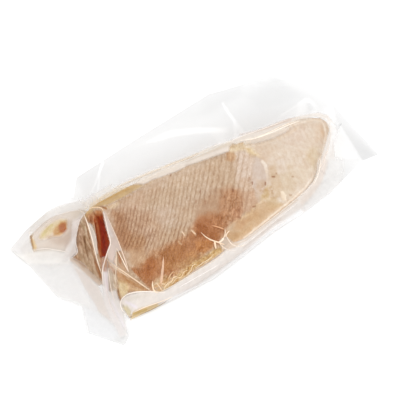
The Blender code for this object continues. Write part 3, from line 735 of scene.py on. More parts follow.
# How much light the film holds back, from 0 to 1, with painted highlights and painted light where it holds back
# less.
PLAIN_HELD = 0.1
HELD_LIGHT_AND_HIGHLIGHTS = (
    # far flap
    # painted shade: it holds back most along the outer edge, where the floor beneath is brightest, to keep its
    # grey even
    ("area", 4, 1, 0.36, (60, 176), (150, 118), (208, 82), (272, 64), (322, 80), (340, 100), (318, 112),
     (296, 110), (262, 126), (222, 141), (170, 162), (107, 189), (90, 200), (72, 200)),
    ("area", 12, 1, 0.56, (60, 176), (130, 130), (160, 116), (210, 82), (252, 66), (246, 92), (172, 137),
     (142, 152), (86, 188)),
    ("area", 8, 1, 0.42, (240, 90), (252, 64), (300, 64), (350, 92), (344, 112), (320, 106), (298, 97),
     (262, 110)),
    ("area", 14, 0.6, 0.42, (100, 160), (150, 130), (200, 104), (212, 130), (190, 150), (160, 160),
     (110, 186)),
    ("area", 6, 1, 0.42, (150, 145), (200, 136), (228, 134), (224, 140), (170, 160), (120, 181), (112, 170)),
    # its highlights: painted highlights, where the film holds back less so that the bright floor shows through
    ("area", 12, 0.6, 0.3, (128, 150), (158, 132), (180, 122), (206, 117), (232, 121), (238, 131),
     (180, 137)),
    ("area", 4, 1, 0, (147, 142), (158, 136), (171, 130.6), (197, 127.4), (228, 127.6), (228, 132.4),
     (197, 132.8), (171, 136.4), (155, 141.6)),
    ("line", (1.5, 5), 0.9, 0, (222.6, 103), (226, 109), (236, 123), (241, 131)),
    ("line", (3, 1.6), 0.9, 0, (101.5, 161), (102.6, 163), (99.5, 171), (96.5, 181), (93, 189), (90, 194)),
    ("area", 4, 0.9, 0.14, (266, 124), (304, 99), (309, 98), (328, 116), (318, 112), (300, 113), (284, 119)),
    ("line", 2, 0.8, 0, (282, 115), (296, 106), (305.4, 98.8), (312, 103)),
    ("area", 3, 0.8, 0.6, (306, 104), (310, 102.5), (316, 110), (309, 111)),
    # flaps past the thin end
    ("area", 3, 1, 0.1, (324, 108), (331, 108), (340, 126), (349, 142), (360, 158), (327, 158), (331, 140),
     (332, 126), (328, 114)),
    ("area", 2, 1, 0.5, (332, 102), (346, 96), (392, 156), (366, 166), (349, 138), (336, 118)),
    ("area", 3, 1, 0.3, (327, 158.5), (361, 158.5), (361, 163), (331, 193), (303, 214), (318, 190),
     (324, 172)),
    # the left flaps and the near seam
    ("area", 3, 1, 0.09, (9, 252), (40, 246), (72, 256), (98, 300), (128, 335), (124, 347), (88, 336),
     (82, 306), (57, 297)),
    ("area", 3, 1, 0.24, (80, 303), (98, 309), (112, 320), (136, 332), (130, 354), (82, 344)),
    # painted light: along the near seam the film holds back nothing, so the floor in the loin's shade shows
    # brighter
    ("line", 12, 1, 0, (166, 306), (198, 293), (232, 272), (254, 257), (276, 238), (304, 216)),
)
# Where the film clings so wetly that it hardly shines: 1 where it shines and 0 where it doesn't.
SHINE_MARKS = (
    ("area", 3, 1, 0, (95, 212), (104, 211), (112, 240), (106, 262), (98, 256), (94, 224)),
    ("area", 8, 0.7, 0.3, (124, 268), (193, 227), (226, 190), (244, 196), (226, 232), (188, 264),
     (152, 291)),
)
# Creases that stand up from the film: width in pixels, then red, green, blue and milkiness, and the points.
# Their pale colours are partly the film's whitened folds and partly painted highlights along them.
CREASES = (
    # over the flaps at the left
    ((0.8, 1.2), (236, 230, 224, 0.6), (34, 250), (46, 248.5), (56, 250), (70, 252.5)),
    ((0.6, 1.2), (230, 220, 208, 0.7), (78, 208.5), (82, 212), (85, 214)),
    # round the cut end
    (0.9, (236, 228, 222, 0.5), (84.5, 214), (80.5, 219), (77.8, 227), (76, 236), (75.8, 244), (77.6, 252),
     (72, 258)),
    ((1.5, 1), (240, 226, 210, 0.8), (84, 214.6), (87, 222), (90, 231), (93, 242), (96, 255), (99.4, 267),
     (101.8, 274)),
    ((0.8, 1), (226, 212, 196, 0.75), (88, 223), (92, 228.6), (95.4, 236), (96.6, 246), (97.4, 254)),
    # painted highlight: the cream line along the fold at the cut end's top
    ((0.7, 1.1), (236, 210, 176, 0.7), (88.5, 209.4), (93, 207.6), (98, 207.4), (102, 208.6),
     (103.4, 211.6)),
    ((1, 1.4), (240, 228, 218, 0.8), (103, 211), (106, 222), (108.4, 233), (110.6, 243), (107.6, 252),
     (104.6, 262), (102.6, 272), (102.8, 284)),
    ((0.7, 1.3), (232, 212, 194, 0.7), (104.8, 211.5), (109.4, 221.5), (114.2, 232), (118.4, 242),
     (122.8, 254), (126.4, 264), (128.8, 272)),
    ((0.9, 1.3), (236, 218, 198, 0.85), (116.4, 248), (121, 257), (125, 265), (128.6, 272)),
    ((1, 0.8), (232, 216, 194, 0.75), (116, 249), (116.3, 262), (115.8, 276), (116.2, 289)),
    ((1.2, 1.3), (230, 208, 182, 0.75), (106.5, 259), (112.5, 264.5), (121, 270), (131, 277), (141, 284),
     (151, 291)),
    ((0.8, 1), (232, 208, 180, 0.7), (108, 262.5), (114, 267.4), (122, 272.6), (130, 278)),
    ((0.9, 0.9), (234, 222, 212, 0.75), (108.4, 268), (109.6, 279), (111.4, 290), (114.6, 301)),
    ((0.9, 1.1), (236, 226, 224, 0.7), (104.6, 272), (106, 288), (110, 304), (117, 320)),
    # tent at the near left corner
    ((0.8, 1.2), (247, 239, 230, 0.85), (129.8, 316.8), (124.6, 313), (121.4, 308.6), (120.4, 304),
     (121.8, 299.4), (126, 295.2), (133, 292.6), (143, 291.6), (154, 291.8), (165, 292.4)),
    ((1.1, 0.9), (240, 226, 208, 0.9), (133.4, 312.5), (143.2, 307.8), (155.5, 303.4), (166, 299.6),
     (173, 296.4)),
    # painted shadow: a dark line along the flesh's lower edge under the tent
    ((0.6, 0.4), (160, 134, 100, 0.6), (140, 314.4), (150, 310.4), (161, 304.6), (171, 298.4)),
    # pleats on the near edge
    ((1.6, 2.8), (228, 196, 168, 0.55), (163.4, 257), (163, 266), (162, 275), (160.8, 285)),
    ((1, 1.6), (240, 222, 196, 0.85), (152.6, 281), (152.8, 287), (154.4, 291), (157.6, 293)),
    ((0.9, 1.3), (236, 214, 184, 0.7), (156, 283), (159, 286), (162, 291)),
    ((1.2, 0.8), (236, 214, 180, 0.7), (164, 288), (168, 283), (171, 281.6), (174, 277), (178, 276)),
    ((1, 0.8), (236, 214, 180, 0.6), (172, 284), (177, 278), (181, 277), (184, 272), (188, 270)),
    ((1.3, 0.8), (224, 190, 150, 0.6), (168, 279), (171, 274), (174, 271)),
    ((1, 0.7), (236, 216, 184, 0.6), (186, 275), (191, 270), (193, 265), (197, 264)),
    ((0.8, 0.8), (238, 220, 190, 0.6), (196, 268), (203, 262.6), (209, 259), (214, 254)),
    ((0.9, 1.6), (238, 216, 190, 0.85), (201, 232.4), (205.4, 236.6), (210.4, 239.6), (217, 242),
     (224.6, 244.6)),
    ((0.8, 1.2), (228, 180, 138, 0.75), (212, 225.4), (218, 227), (224.4, 229.4)),
    ((0.8, 1.3), (240, 222, 200, 0.8), (225, 228.6), (225.2, 233), (223.6, 238.4)),
    ((2.2, 1.2), (243, 226, 206, 0.9), (223.8, 237.6), (221.6, 240.8), (217.6, 242.6)),
    ((0.8, 1.2), (244, 232, 218, 0.75), (225.4, 234.6), (228.2, 239.6), (231.4, 243.8), (237.4, 246.2),
     (246, 244.6)),
    ((2.2, 1.4), (238, 214, 186, 0.85), (214.6, 241.2), (215.2, 245), (216, 249)),
    ((0.9, 1.1), (240, 220, 194, 0.7), (219.4, 243.4), (221.8, 245.6), (223.4, 248.6)),
    ((0.9, 1.4), (240, 222, 200, 0.8), (229.6, 230.6), (227, 233.4), (225.4, 237)),
    ((0.9, 0.7), (242, 233, 224, 0.6), (222, 246), (228, 250), (236, 251.4)),
    (1, (232, 208, 182, 0.8), (181.4, 231), (182.6, 232.4), (184.4, 235.4)),
    ((0.9, 1.5), (230, 204, 176, 0.7), (191.4, 229.8), (193, 232), (196, 234.4)),
    # along the near band and the thin end
    (0.9, (236, 224, 208, 0.7), (160, 291.6), (170, 287), (182, 280), (195, 272), (210, 263), (222, 254.6),
     (231, 246)),
    ((0.8, 1), (244, 234, 224, 0.4), (329.4, 123), (330.4, 134), (328.6, 146), (324.6, 158), (320.2, 168),
     (316.2, 178), (308.6, 188.4), (296, 199.2), (284, 209), (270, 220), (256, 231.2), (243, 240.6)),
    ((1.2, 0.7), (242, 231, 217, 0.8), (250, 140), (264, 134.6), (280, 127), (296, 120.4)),
    ((0.8, 0.9), (244, 238, 232, 0.6), (236, 247.6), (250, 240.6), (262, 231), (276, 220), (290, 209),
     (304, 197.6)),
    ((0.8, 0.8), (244, 239, 236, 0.6), (250, 246.6), (262, 236.6), (276, 226.6), (292, 217.4)),
    ((0.8, 0.9), (248, 244, 241, 0.7), (178, 288), (192, 280), (206, 272), (220, 264)),
    ((0.8, 1), (246, 238, 229, 0.8), (320.6, 158), (319.8, 167), (317.6, 176), (313.6, 184.6)),
    ((0.7, 0.8), (240, 231, 224, 0.7), (325.4, 154), (324.4, 164), (322.4, 174)),
    # along the far edge
    ((0.7, 0.9), (240, 229, 214, 0.7), (112, 189.6), (130, 181), (150, 172.6), (172, 164.2), (190, 157.4),
     (208, 149.6)),
    ((0.9, 1), (250, 241, 230, 0.8), (240, 140.6), (256, 138), (270, 133), (286, 126), (300, 120.6)),
    ((0.7, 0.8), (242, 236, 229, 0.7), (226, 143.6), (240, 137), (256, 131.4), (272, 125.4), (290, 118.6)),
)
# Where the muscle bands show, and how strongly.
BAND_MARKS = (
    ("area", 10, 1, 0.55, (108, 208), (130, 196), (226, 153), (240, 150), (252, 153), (258, 162), (252, 206),
     (238, 221), (226, 226), (212, 214), (200, 222), (186, 236), (150, 254), (122, 248), (112, 228)),
    ("area", 10, 1, 0.8, (112, 212), (126, 210), (150, 216), (160, 232), (156, 248), (140, 252), (124, 246)),
    ("area", 8, 1, 0.8, (160, 228), (184, 222), (190, 234), (176, 246), (160, 250)),
    ("area", 8, 1, 0.06, *UNSTRIPED_PATCH),
    ("area", 6, 1, 0.25, (159, 208), (168, 206), (170, 220), (162, 226), (156, 218)),
    ("area", 6, 1, 0.3, (128, 192), (142, 190), (150, 200), (140, 208), (126, 206)),
    ("area", 6, 1, 0.45, (240, 150), (254, 155), (257, 172), (256, 190), (244, 190)),
    ("area", 4, 1, 0, (252, 156), (268, 160), (268, 196), (254, 196)),
    ("area", 6, 1, 0.45, (220, 190), (240, 188), (244, 205), (238, 222), (224, 218)),
    ("area", 5, 1, 0.1, (128, 248), (144, 247), (148, 260), (136, 268), (128, 262)),
)
# How wide the bands are at places from left to right, how they lean about a row, and how they bend below one.
BAND_WIDTHS = ((60, 3.7), (140, 3.7), (166, 3.75), (180, 4.05), (194, 4.4), (208, 5.0), (222, 5.7),
               (236, 5.4), (262, 5.0), (340, 5.0))
BAND_LEAN, BAND_LEAN_ROW, BAND_BEND, BAND_BEND_ROW = 0.176, 190, 0.0035, 215
STREAK_WIDTH, STREAK_LEAN, STREAK_LEAN_ROW = 4.6, 0.42, 150
# Where the thin end's skin, the cut end and its hollow lie.
SKIN_MARKS = (("area", 6, 1, 1, *THIN_END),)
CUT_MARKS = (
    ("area", 2, 1, 1, (82, 214), (92, 210), (103, 209), (106, 222), (111, 236), (111, 262), (118, 274),
     (120, 300), (110, 312), (62, 262), (60, 230), (74, 214)),
)
HOLE_MARKS = (
    ("area", 2.4, 1, 1, (96, 213.5), (102.6, 213), (104.4, 222), (107.4, 233), (110.2, 242.5), (108, 249),
     (105.2, 256.5), (99.3, 256.5), (98, 247), (97, 237), (95.6, 226)),
)
# How grainy the flesh is.
GRAIN, HIDDEN_GRAIN = 0.4, 0.6
GRAIN_MARKS = (
    ("area", 8, 1, 1, (124, 268), (133, 264), (152, 251), (186, 236), (199, 218), (222, 206), (226, 192),
     (238, 190), (243, 204), (240, 218), (229, 224), (226, 232), (226, 246), (214, 256), (188, 272),
     (170, 286), (160, 290), (152, 291), (130, 276)),
    ("area", 10, 0.8, 0.7, (112, 212), (150, 214), (160, 232), (152, 250), (126, 250)),
    ("area", 4, 0.8, 0.8, *BACK_FAT),
    ("area", 8, 1, 0.3, *UNSTRIPED_PATCH),
    ("area", 6, 1, 0.12, (250, 140), (300, 119), (330, 120), (330, 150), (306, 191), (284, 204), (256, 200),
     (254, 156)),
    ("area", 6, 1, 0.2, *TAN_BAND),
)
# Where there is curdled yellow fat.
FAT_MARKS = (
    ("area", 6, 1, 1, (156, 293), (166, 276), (188, 266), (220, 245), (231, 240), (230, 250), (196, 272),
     (165, 294)),
    ("area", 4, 1, 0.9, (86, 208), (99, 197), (112, 189), (125, 183), (158, 170), (164, 172), (150, 182),
     (139, 188), (129, 197), (108, 208)),
    ("area", 4, 1, 0.4, *CORNER_FAT),
    ("area", 6, 1, 0.12, *TAN_BAND),
    ("area", 6, 1, 0.6, (258, 184), (272, 182), (278, 196), (262, 202)),
    ("area", 4, 1, 0.5, (116, 268), (140, 280), (152, 291), (130, 296), (118, 292)),
)

LIGHT_KEPT = 0.892  # share of the light outside that reaches the flesh and comes back to the camera
FLOOR_LIGHT = 0.9
# What the flesh's colour is multiplied by where it is darkest and lightest.
# In the bands the darker lines are partly the flesh's own stripes and partly painted shade in their grooves;
# the lighter ridges are painted light.
GROOVE, RIDGE = (0.68, 0.58, 0.49), (1.07, 1.10, 1.13)
DARK_HAIR, LIGHT_HAIR = (0.84, 0.77, 0.69), (1.08, 1.11, 1.14)
DARK_PATCH, LIGHT_PATCH = (0.94, 0.90, 0.86), (1.04, 1.07, 1.10)
DARK_GRAIN, LIGHT_GRAIN = (0.72, 0.65, 0.59), (1.22, 1.26, 1.28)
DARK_CLOT, LIGHT_CLOT = (0.85, 0.78, 0.71), (1.13, 1.17, 1.20)
DARK_FAT, LIGHT_FAT = (0.86, 0.77, 0.62), (1.12, 1.19, 1.32)
DARK_FIBRE, LIGHT_FIBRE = (0.72, 0.63, 0.54), (1.16, 1.21, 1.25)
STREAK, BLOTCH = (0.95, 0.93, 0.90), (0.97, 0.94, 0.91)
STRIP_PATCH, STRIP_GRAIN = (0.93, 0.86, 0.76), (0.84, 0.76, 0.66)
# The part of the light that passes through plain film, and through film that holds back as much as it can.
CLEAREST, DULLEST = (0.99, 0.99, 0.99), (0.82, 0.82, 0.82)
FILM_IOR = 1.45
BAND_TURN, FIBRE_TURN = np.radians(39), np.radians(65)
SHARP_ANGLE = np.radians(70)
FLOOR_REACH, FLOOR_DROP = 6.0, 0.0004
WORLD_LIGHT = 1.03
# Name of each sun, the direction that it shines from, its strength, and its width in degrees.
SUNS = (("key", (-0.25, 0.9, 1.3), 0.4, 30), ("fill", (-0.3, -1.0, 1.0), 1.15, 60))


def light_on(x, y, z):
    """About how much light falls on each crossing of a grid: from all round, the floor and the suns."""
    places = np.stack([x, y, z], -1)
    facing = np.cross(np.gradient(places, axis=1), np.gradient(places, axis=0))
    facing /= np.maximum(np.linalg.norm(facing, axis=-1, keepdims=True), 1e-12)
    up = facing[..., 2]
    light = WORLD_LIGHT * (1 + up) / 2 + FLOOR_LIGHT * (1 - up) / 2
    for _, direction, strength, _ in SUNS:
        toward = np.array(direction) / np.linalg.norm(direction)
        light += strength / np.pi * np.clip(facing @ toward, 0, None)
    return (light * LIGHT_KEPT).reshape(-1, 1)


# ---------------------------------------------------------------- meshes


def sheet_faces(rows, columns, start=0):
    """Quads of a grid of vertices that are numbered row by row."""
    first = (np.arange(rows - 1)[:, None] * columns + np.arange(columns - 1) + start).ravel()
    return np.stack([first, first + 1, first + 1 + columns, first + columns], -1)


def rim(top, bottom, left, right, columns, start=0):
    """Numbers of the vertices round a block of the grid, in order."""
    across = [top * columns + column for column in range(left, right)]
    down = [row * columns + right for row in range(top, bottom)]
    back = [bottom * columns + column for column in range(right, left, -1)]
    up = [row * columns + left for row in range(bottom, top, -1)]
    return [start + index for index in (*across, *down, *back, *up)]


def new_piece(name, points, faces, material):
    """A piece that rides on the part's body, without the points that no face uses."""
    mesh = bpy.data.meshes.new(name)
    mesh.from_pydata(points.tolist(), [], faces)
    bm = bmesh.new()
    bm.from_mesh(mesh)
    bmesh.ops.delete(bm, geom=[vert for vert in bm.verts if not vert.link_faces], context="VERTS")
    bmesh.ops.recalc_face_normals(bm, faces=bm.faces)
    bm.to_mesh(mesh)
    bm.free()
    mesh.shade_smooth()
    mesh.set_sharp_from_angle(angle=SHARP_ANGLE)
    mesh.materials.append(material)
    piece = bpy.data.objects.new(name, mesh)
    bpy.context.scene.collection.objects.link(piece)
    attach(piece, "root")
    return piece


def keep(piece, name, values):
    """Puts a number or a colour on each of a piece's vertices, which its material reads by name."""
    values = np.asarray(values, np.float32)
    if values.ndim == 1:
        attribute = piece.data.attributes.new(name, "FLOAT", "POINT")
        attribute.data.foreach_set("value", values)
        return
    if values.shape[1] == 3:
        values = np.hstack([values, np.ones((len(values), 1), np.float32)])
    attribute = piece.data.attributes.new(name, "FLOAT_COLOR", "POINT")
    attribute.data.foreach_set("color", values.ravel())


def wander(x, y, size, seed):
    """Small uneven shifts, in pixels, for the outlines of soft marks."""
    return np.stack([noise(x, y, size, seed).ravel(), noise(x, y, size, seed + 1).ravel()], -1)


def band_phase(spots):
    """How many muscle bands lie to the left of each spot, with its share of the way across its own."""
    lean = BAND_LEAN * (spots[:, 1] - BAND_LEAN_ROW)
    lean += BAND_BEND * np.maximum(spots[:, 1] - BAND_BEND_ROW, 0) ** 2
    step = 0.5
    fine = np.arange(BAND_WIDTHS[0][0], BAND_WIDTHS[-1][0] + step, step)
    count = np.concatenate([[0], np.cumsum(step / straight(fine[:-1] + step / 2, BAND_WIDTHS))])
    return np.interp(spots[:, 0] + lean, fine, count)


def sides_at(x):
    """y of the lines that the film's grid keeps to along the pack, from the near seam to the far one."""
    near, back = smooth(x, NEAR_EDGE), smooth(x, BACK_EDGE)
    return [straight(x, NEAR_SEAM), smooth(x, NEAR_FOOT), near, near + SHOULDER, back, back + BACK_WALL_DEPTH,
            straight(x, FAR_SEAM)]


def ends_at(y):
    """x of the lines that the film's grid keeps to across the pack, from the left seam to the right one."""
    return [straight(y, LEFT_SEAM), smooth(y, CUT_FOOT), np.full_like(y, LOIN_START_X),
            np.full_like(y, LOIN_END_X), straight(y, RIGHT_SEAM)]


def new_lump(name, x, y, z, material):
    """A piece with a grid as its upper side, down to the lower film at its edge, and one flat face below."""
    rows, columns = x.shape
    z[0], z[-1], z[:, 0], z[:, -1] = (FILM_GAP,) * 4
    faces = sheet_faces(rows, columns).tolist()
    faces.append(rim(0, rows - 1, 0, columns - 1, columns)[::-1])
    return new_piece(name, np.stack([x, y, z], -1).reshape(-1, 3), faces, material)


def make_loin(material):
    """The loin, with the marks that its material reads."""
    x, y = grid(LOIN_ACROSS, LOIN_ALONG, lambda x: sides_at(x)[1:-1],
                lambda y: [*ends_at(y)[1:-1], np.full_like(y, TIP_X)], *LOIN_SPAN)
    z = loin_height(x, y, FILM_GAP)
    spots = seen(x, y, z).reshape(-1, 2)
    flat_x, flat_y = x.ravel(), y.ravel()
    drift = wander(flat_x, flat_y, MARK_DRIFT_SIZE, seed=3)
    shown = 1 - rising(flat_y - smooth(flat_x, BACK_EDGE), *HIDDEN_RISE)
    specks = [("line", width, strength, SPECK_COLOUR, start, end) for start, end, width, strength in SPECKS]
    tone_and_painted_light = painted(spots, (*LOIN_MARKS, *specks), FLESH, drift)
    tone_and_painted_light = tone_and_painted_light * shown[:, None] + np.array(HIDDEN_FLESH) * (1 - shown)[:, None]
    bands = painted(spots, BAND_MARKS, 0, drift) * shown
    hole = painted(spots, HOLE_MARKS, 0) * shown
    phase = band_phase(spots) + uneven(flat_x, flat_y, BAND_SWAY)
    relief = -BAND_DEPTH * bands * (0.5 - 0.5 * np.cos(2 * np.pi * phase)) - HOLE_DEPTH * hole
    relief += uneven(flat_x, flat_y, LOIN_DENTS) - LOIN_SUNK
    raised = np.maximum(z + relief.reshape(z.shape), LEAST_HEIGHT)
    piece = new_lump("tuna_loin", x, y, raised, material)
    # painted light: the seen colours are divided by the light that falls on each place, so the flesh is lighter
    # where it gets less
    keep(piece, "tone_and_painted_light", reflected(tone_and_painted_light, light_on(x, y, z)))
    keep(piece, "band_phase", phase)
    keep(piece, "bands", bands)
    keep(piece, "skin", painted(spots, SKIN_MARKS, 0, drift) * shown + 1 - shown)
    keep(piece, "grain", painted(spots, GRAIN_MARKS, GRAIN, drift) * shown + HIDDEN_GRAIN * (1 - shown))
    keep(piece, "fat", painted(spots, FAT_MARKS, 0, drift) * shown)
    keep(piece, "cut_end", painted(spots, CUT_MARKS, 0) * shown)
    keep(piece, "streaks", (spots[:, 0] - STREAK_LEAN * (spots[:, 1] - STREAK_LEAN_ROW)) / STREAK_WIDTH)
    return piece


def film_height(x, y):
    """The upper film with the waves of its loose flaps."""
    flap = flap_height(x, y)
    loose = rising(flap - contents_height(x, y), *ABOVE_CONTENTS) * rising(flap, *ABOVE_TABLE)
    edge_room = np.minimum.reduce([x - straight(y, LEFT_SEAM), straight(y, RIGHT_SEAM) - x,
                                   y - straight(x, NEAR_SEAM), straight(x, FAR_SEAM) - y])
    waves = uneven(x, y, FLAP_WAVES) * loose * rising(edge_room, *FROM_SEAMS)
    return np.maximum(upper_film(x, y) + waves, SEAM_THICKNESS)


def make_strip(material):
    """The belly strip, from the loin's side outwards."""
    along = np.linspace(STRIP_START_X + STRIP_INSET, STRIP_END_X - 2 * STRIP_INSET, STRIP_ALONG)
    x, share = np.meshgrid(along, np.linspace(0, 1, STRIP_ACROSS))
    front, back = smooth(x, STRIP_FRONT) + STRIP_INSET, smooth(x, STRIP_BACK) - STRIP_INSET
    y = front + (back - front) * share
    # where the loin stands higher, the strip starts only beyond it
    in_loin = loin_height(x, y) > strip_height(x, y)
    front = np.where(in_loin, y, front).max(axis=0)
    back = np.maximum(back[0], front + 2 * STRIP_INSET)
    y = front + (back - front) * share
    z = np.maximum(strip_height(x, y), STRIP_UNDER_FILM * film_height(x, y)) - 2 * FILM_GAP
    light = light_on(x, y, z)
    z = np.maximum(z + uneven(x, y, STRIP_DENTS), LEAST_HEIGHT)
    piece = new_lump("belly_strip", x, y, z, material)
    drift = wander(x, y, MARK_DRIFT_SIZE, seed=23)
    tone_and_painted_light = painted(seen(x, y, z).reshape(-1, 2), STRIP_MARKS, STRIP_FLESH, drift)
    # painted light: the seen colours are divided by the light on each place, so the strip is lighter where it
    # gets less
    keep(piece, "tone_and_painted_light", reflected(tone_and_painted_light, light))
    return piece


def make_film(material):
    """Upper and lower film, joined round the seams, with one flat face below the loin."""
    x, y = grid(FILM_ACROSS, FILM_ALONG, sides_at, ends_at, NEAR_SEAM[0][1], FAR_SEAM[0][1])
    upper = film_height(x, y)
    rows, columns = x.shape
    spots = seen(x, y, upper).reshape(-1, 2)
    light = light_on(x, y, upper_film(x, y))
    milk_and_painted_light = painted(spots, FILM_MARKS, CLEAR, FILM_DRIFT * wander(x, y, FILM_DRIFT_SIZE, seed=31))
    # painted light: the film's milky colours are divided by the light on each place, so they are lighter where
    # it gets less
    milk_and_painted_light[:, :3] = reflected(milk_and_painted_light[:, :3], light)
    # how much the film holds back, with painted highlights and painted light where it holds back less
    held = painted(spots, HELD_LIGHT_AND_HIGHLIGHTS, PLAIN_HELD)
    shine = painted(spots, SHINE_MARKS, 1)
    lower = np.minimum(np.clip(lower_rise(x, y), 0, None), upper - LEAST_GAP)
    points = np.stack([np.stack([x, y, upper], -1), np.stack([x, y, lower], -1)]).reshape(-1, 3)
    count = rows * columns
    above = sheet_faces(rows, columns)
    below = sheet_faces(rows, columns, count)[:, ::-1]
    # the flat face takes the place of the quads in the stretches from foot to foot
    near_foot, back_foot = FILM_ACROSS[0], sum(FILM_ACROSS[:5])
    cut_foot, loin_end = FILM_ALONG[0], sum(FILM_ALONG[:3])
    face_row, face_column = np.divmod(above[:, 0], columns)
    under_loin = ((face_row >= near_foot) & (face_row < back_foot)
                  & (face_column >= cut_foot) & (face_column < loin_end))
    below = below[~under_loin]
    outer = np.array(rim(0, rows - 1, 0, columns - 1, columns))
    following = np.roll(outer, -1)
    edges = np.stack([outer, outer + count, following + count, following], -1)
    faces = [*above.tolist(), *below.tolist(), *edges.tolist()]
    faces.append(rim(near_foot, back_foot, cut_foot, loin_end, columns, count)[::-1])
    used = np.unique([*above.ravel(), *below.ravel()])
    piece = new_piece("bag_film", points, faces, material)
    plain = np.tile(np.array([*reflected(CLEAR[:3], 1.0), CLEAR[3]]), (count, 1))
    keep(piece, "milk_and_painted_light", np.vstack([milk_and_painted_light, plain])[used])
    keep(piece, "held", np.concatenate([held, held])[used])
    keep(piece, "shine", np.concatenate([shine, np.ones(count)])[used])
    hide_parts("sealed_bag")
    return piece


def curve(points, step):
    """Spots about a step apart on a smooth line through points."""
    points = np.array(points, float)
    lengths = np.concatenate([[0], np.cumsum(np.linalg.norm(np.diff(points, axis=0), axis=1))])
    at = np.linspace(0, lengths[-1], int(lengths[-1] / step) + 2)
    return np.stack([smooth(at, np.stack([lengths, line], -1)) for line in points.T], -1)


def on_film(spots):
    """The places on the upper film that the camera sees at spots of its frame."""
    turn = (spots - FRAME_PIXELS / 2) / FOCAL_PIXELS
    ray = camera_right * turn[:, :1] - camera_up * turn[:, 1:] - camera_back
    heights = np.linspace(SEARCH_TOP, 0.0, SEARCH_STEPS)
    way = (heights - camera_place[2]) / ray[:, 2:]
    x, y = (camera_place[axis] + ray[:, axis:axis + 1] * way for axis in (0, 1))
    above = heights - film_height(x, y)
    first = np.maximum(np.argmax(above < 0, axis=1), 1)
    row = np.arange(len(spots))
    before, after = above[row, first - 1], above[row, first]
    share = np.clip(before / np.maximum(before - after, 1e-9), 0, 1)
    found = way[row, first - 1] * (1 - share) + way[row, first] * share
    return camera_place + ray * found[:, None]


def ridge(places, half, start):
    """Points and faces of a thin closed ridge along places on the film, numbered from a start."""
    along = np.gradient(places, axis=0)
    along /= np.linalg.norm(along, axis=1, keepdims=True)
    beside = np.cross(along, camera_back)
    beside /= np.linalg.norm(beside, axis=1, keepdims=True)
    outward = np.cross(beside, along)
    turn = np.arange(CREASE_CORNERS) * 2 * np.pi / CREASE_CORNERS
    rings = (places[:, None] + np.cos(turn)[:, None] * beside[:, None] * half[:, None, None]
             + np.sin(turn)[:, None] * outward[:, None] * np.minimum(half, CREASE_HEIGHT)[:, None, None])
    numbers = start + np.arange(rings.shape[0] * CREASE_CORNERS).reshape(-1, CREASE_CORNERS)
    following = np.roll(numbers, -1, axis=1)
    sides = np.stack([numbers[:-1], following[:-1], following[1:], numbers[1:]], -1).reshape(-1, 4)
    return rings.reshape(-1, 3), [*sides.tolist(), numbers[0, ::-1].tolist(), numbers[-1].tolist()]


def make_creases(material):
    """Thin ridges along the film's creases, which taper off at both ends."""
    points, faces, milk_and_painted_light = [], [], []
    for width, (*colour, milkiness), *line in CREASES:
        places = on_film(curve(line, CREASE_STEP))
        share = np.linspace(0, 1, len(places))
        taper = np.sqrt(np.clip(np.minimum(share, 1 - share) / CREASE_TAPER, CREASE_POINT, 1))
        ridge_points, ridge_faces = ridge(places, half_width(width, share) * PIXEL * taper, len(milk_and_painted_light))
        points.append(ridge_points)
        faces += ridge_faces
        milk_and_painted_light += [[*reflected(colour, WORLD_LIGHT * LIGHT_KEPT), milkiness]] * len(ridge_points)
    piece = new_piece("film_creases", np.vstack(points), faces, material)
    keep(piece, "milk_and_painted_light", milk_and_painted_light)
    keep(piece, "held", np.full(len(milk_and_painted_light), PLAIN_HELD))
    keep(piece, "shine", np.ones(len(milk_and_painted_light)))
    return piece


# ---------------------------------------------------------------- materials


def node(tree, kind, inputs=None, **settings):
    """A shader node with its settings, and its inputs set to numbers or joined to other sockets."""
    made = tree.nodes.new("ShaderNode" + kind)
    for name, value in settings.items():
        setattr(made, name, value)
    for name, value in (inputs or {}).items():
        if isinstance(value, bpy.types.NodeSocket):
            tree.links.new(value, made.inputs[name])
        else:
            made.inputs[name].default_value = value
    return made


def maths(tree, operation, first, second=0.0, third=0.0):
    return node(tree, "Math", {0: first, 1: second, 2: third}, operation=operation).outputs[0]


def times(tree, first, second):
    return maths(tree, "MULTIPLY", first, second)


def mark(tree, name, output="Fac"):
    """What the mesh keeps under a name."""
    return node(tree, "Attribute", attribute_name=name).outputs[output]


def mottle(tree, scale, detail=3.0, rough=0.5, long=(1, 1, 1), turn=0.0):
    """Noise from 0 to 1 that is fixed to the piece and can be drawn out along a turned axis."""
    places = node(tree, "TexCoord").outputs["Object"]
    turned = node(tree, "Mapping", {"Vector": places, "Rotation": (0, 0, turn), "Scale": long},
                  vector_type="TEXTURE").outputs[0]
    return node(tree, "TexNoise", {"Vector": turned, "Scale": scale, "Detail": detail,
                                   "Roughness": rough}).outputs["Fac"]


def varied(tree, colour, factor, share, dark, light):
    """A colour made uneven, by a factor, between a dark and a light multiple of it."""
    return tint(tree, factor, colour, tint(tree, share, dark, light), "MULTIPLY")


def ranged(tree, value, low, high, to_low=0.0, to_high=1.0):
    """A value from one range brought to another, and held at its ends."""
    return node(tree, "MapRange", {0: value, 1: low, 2: high, 3: to_low, 4: to_high}).outputs[0]


def tint(tree, factor, first, second, blend="MIX"):
    """Second colour over the first, by a factor."""
    inputs = {0: factor, 6: first, 7: second}
    for key in (6, 7):
        if isinstance(inputs[key], tuple):
            inputs[key] = (*inputs[key], 1.0)
    return node(tree, "Mix", inputs, data_type="RGBA", blend_type=blend).outputs[2]


def new_material(name):
    """An empty material and its tree of shader nodes."""
    material = bpy.data.materials.new(name)
    material.use_nodes = True
    material.node_tree.nodes.clear()
    return material, material.node_tree


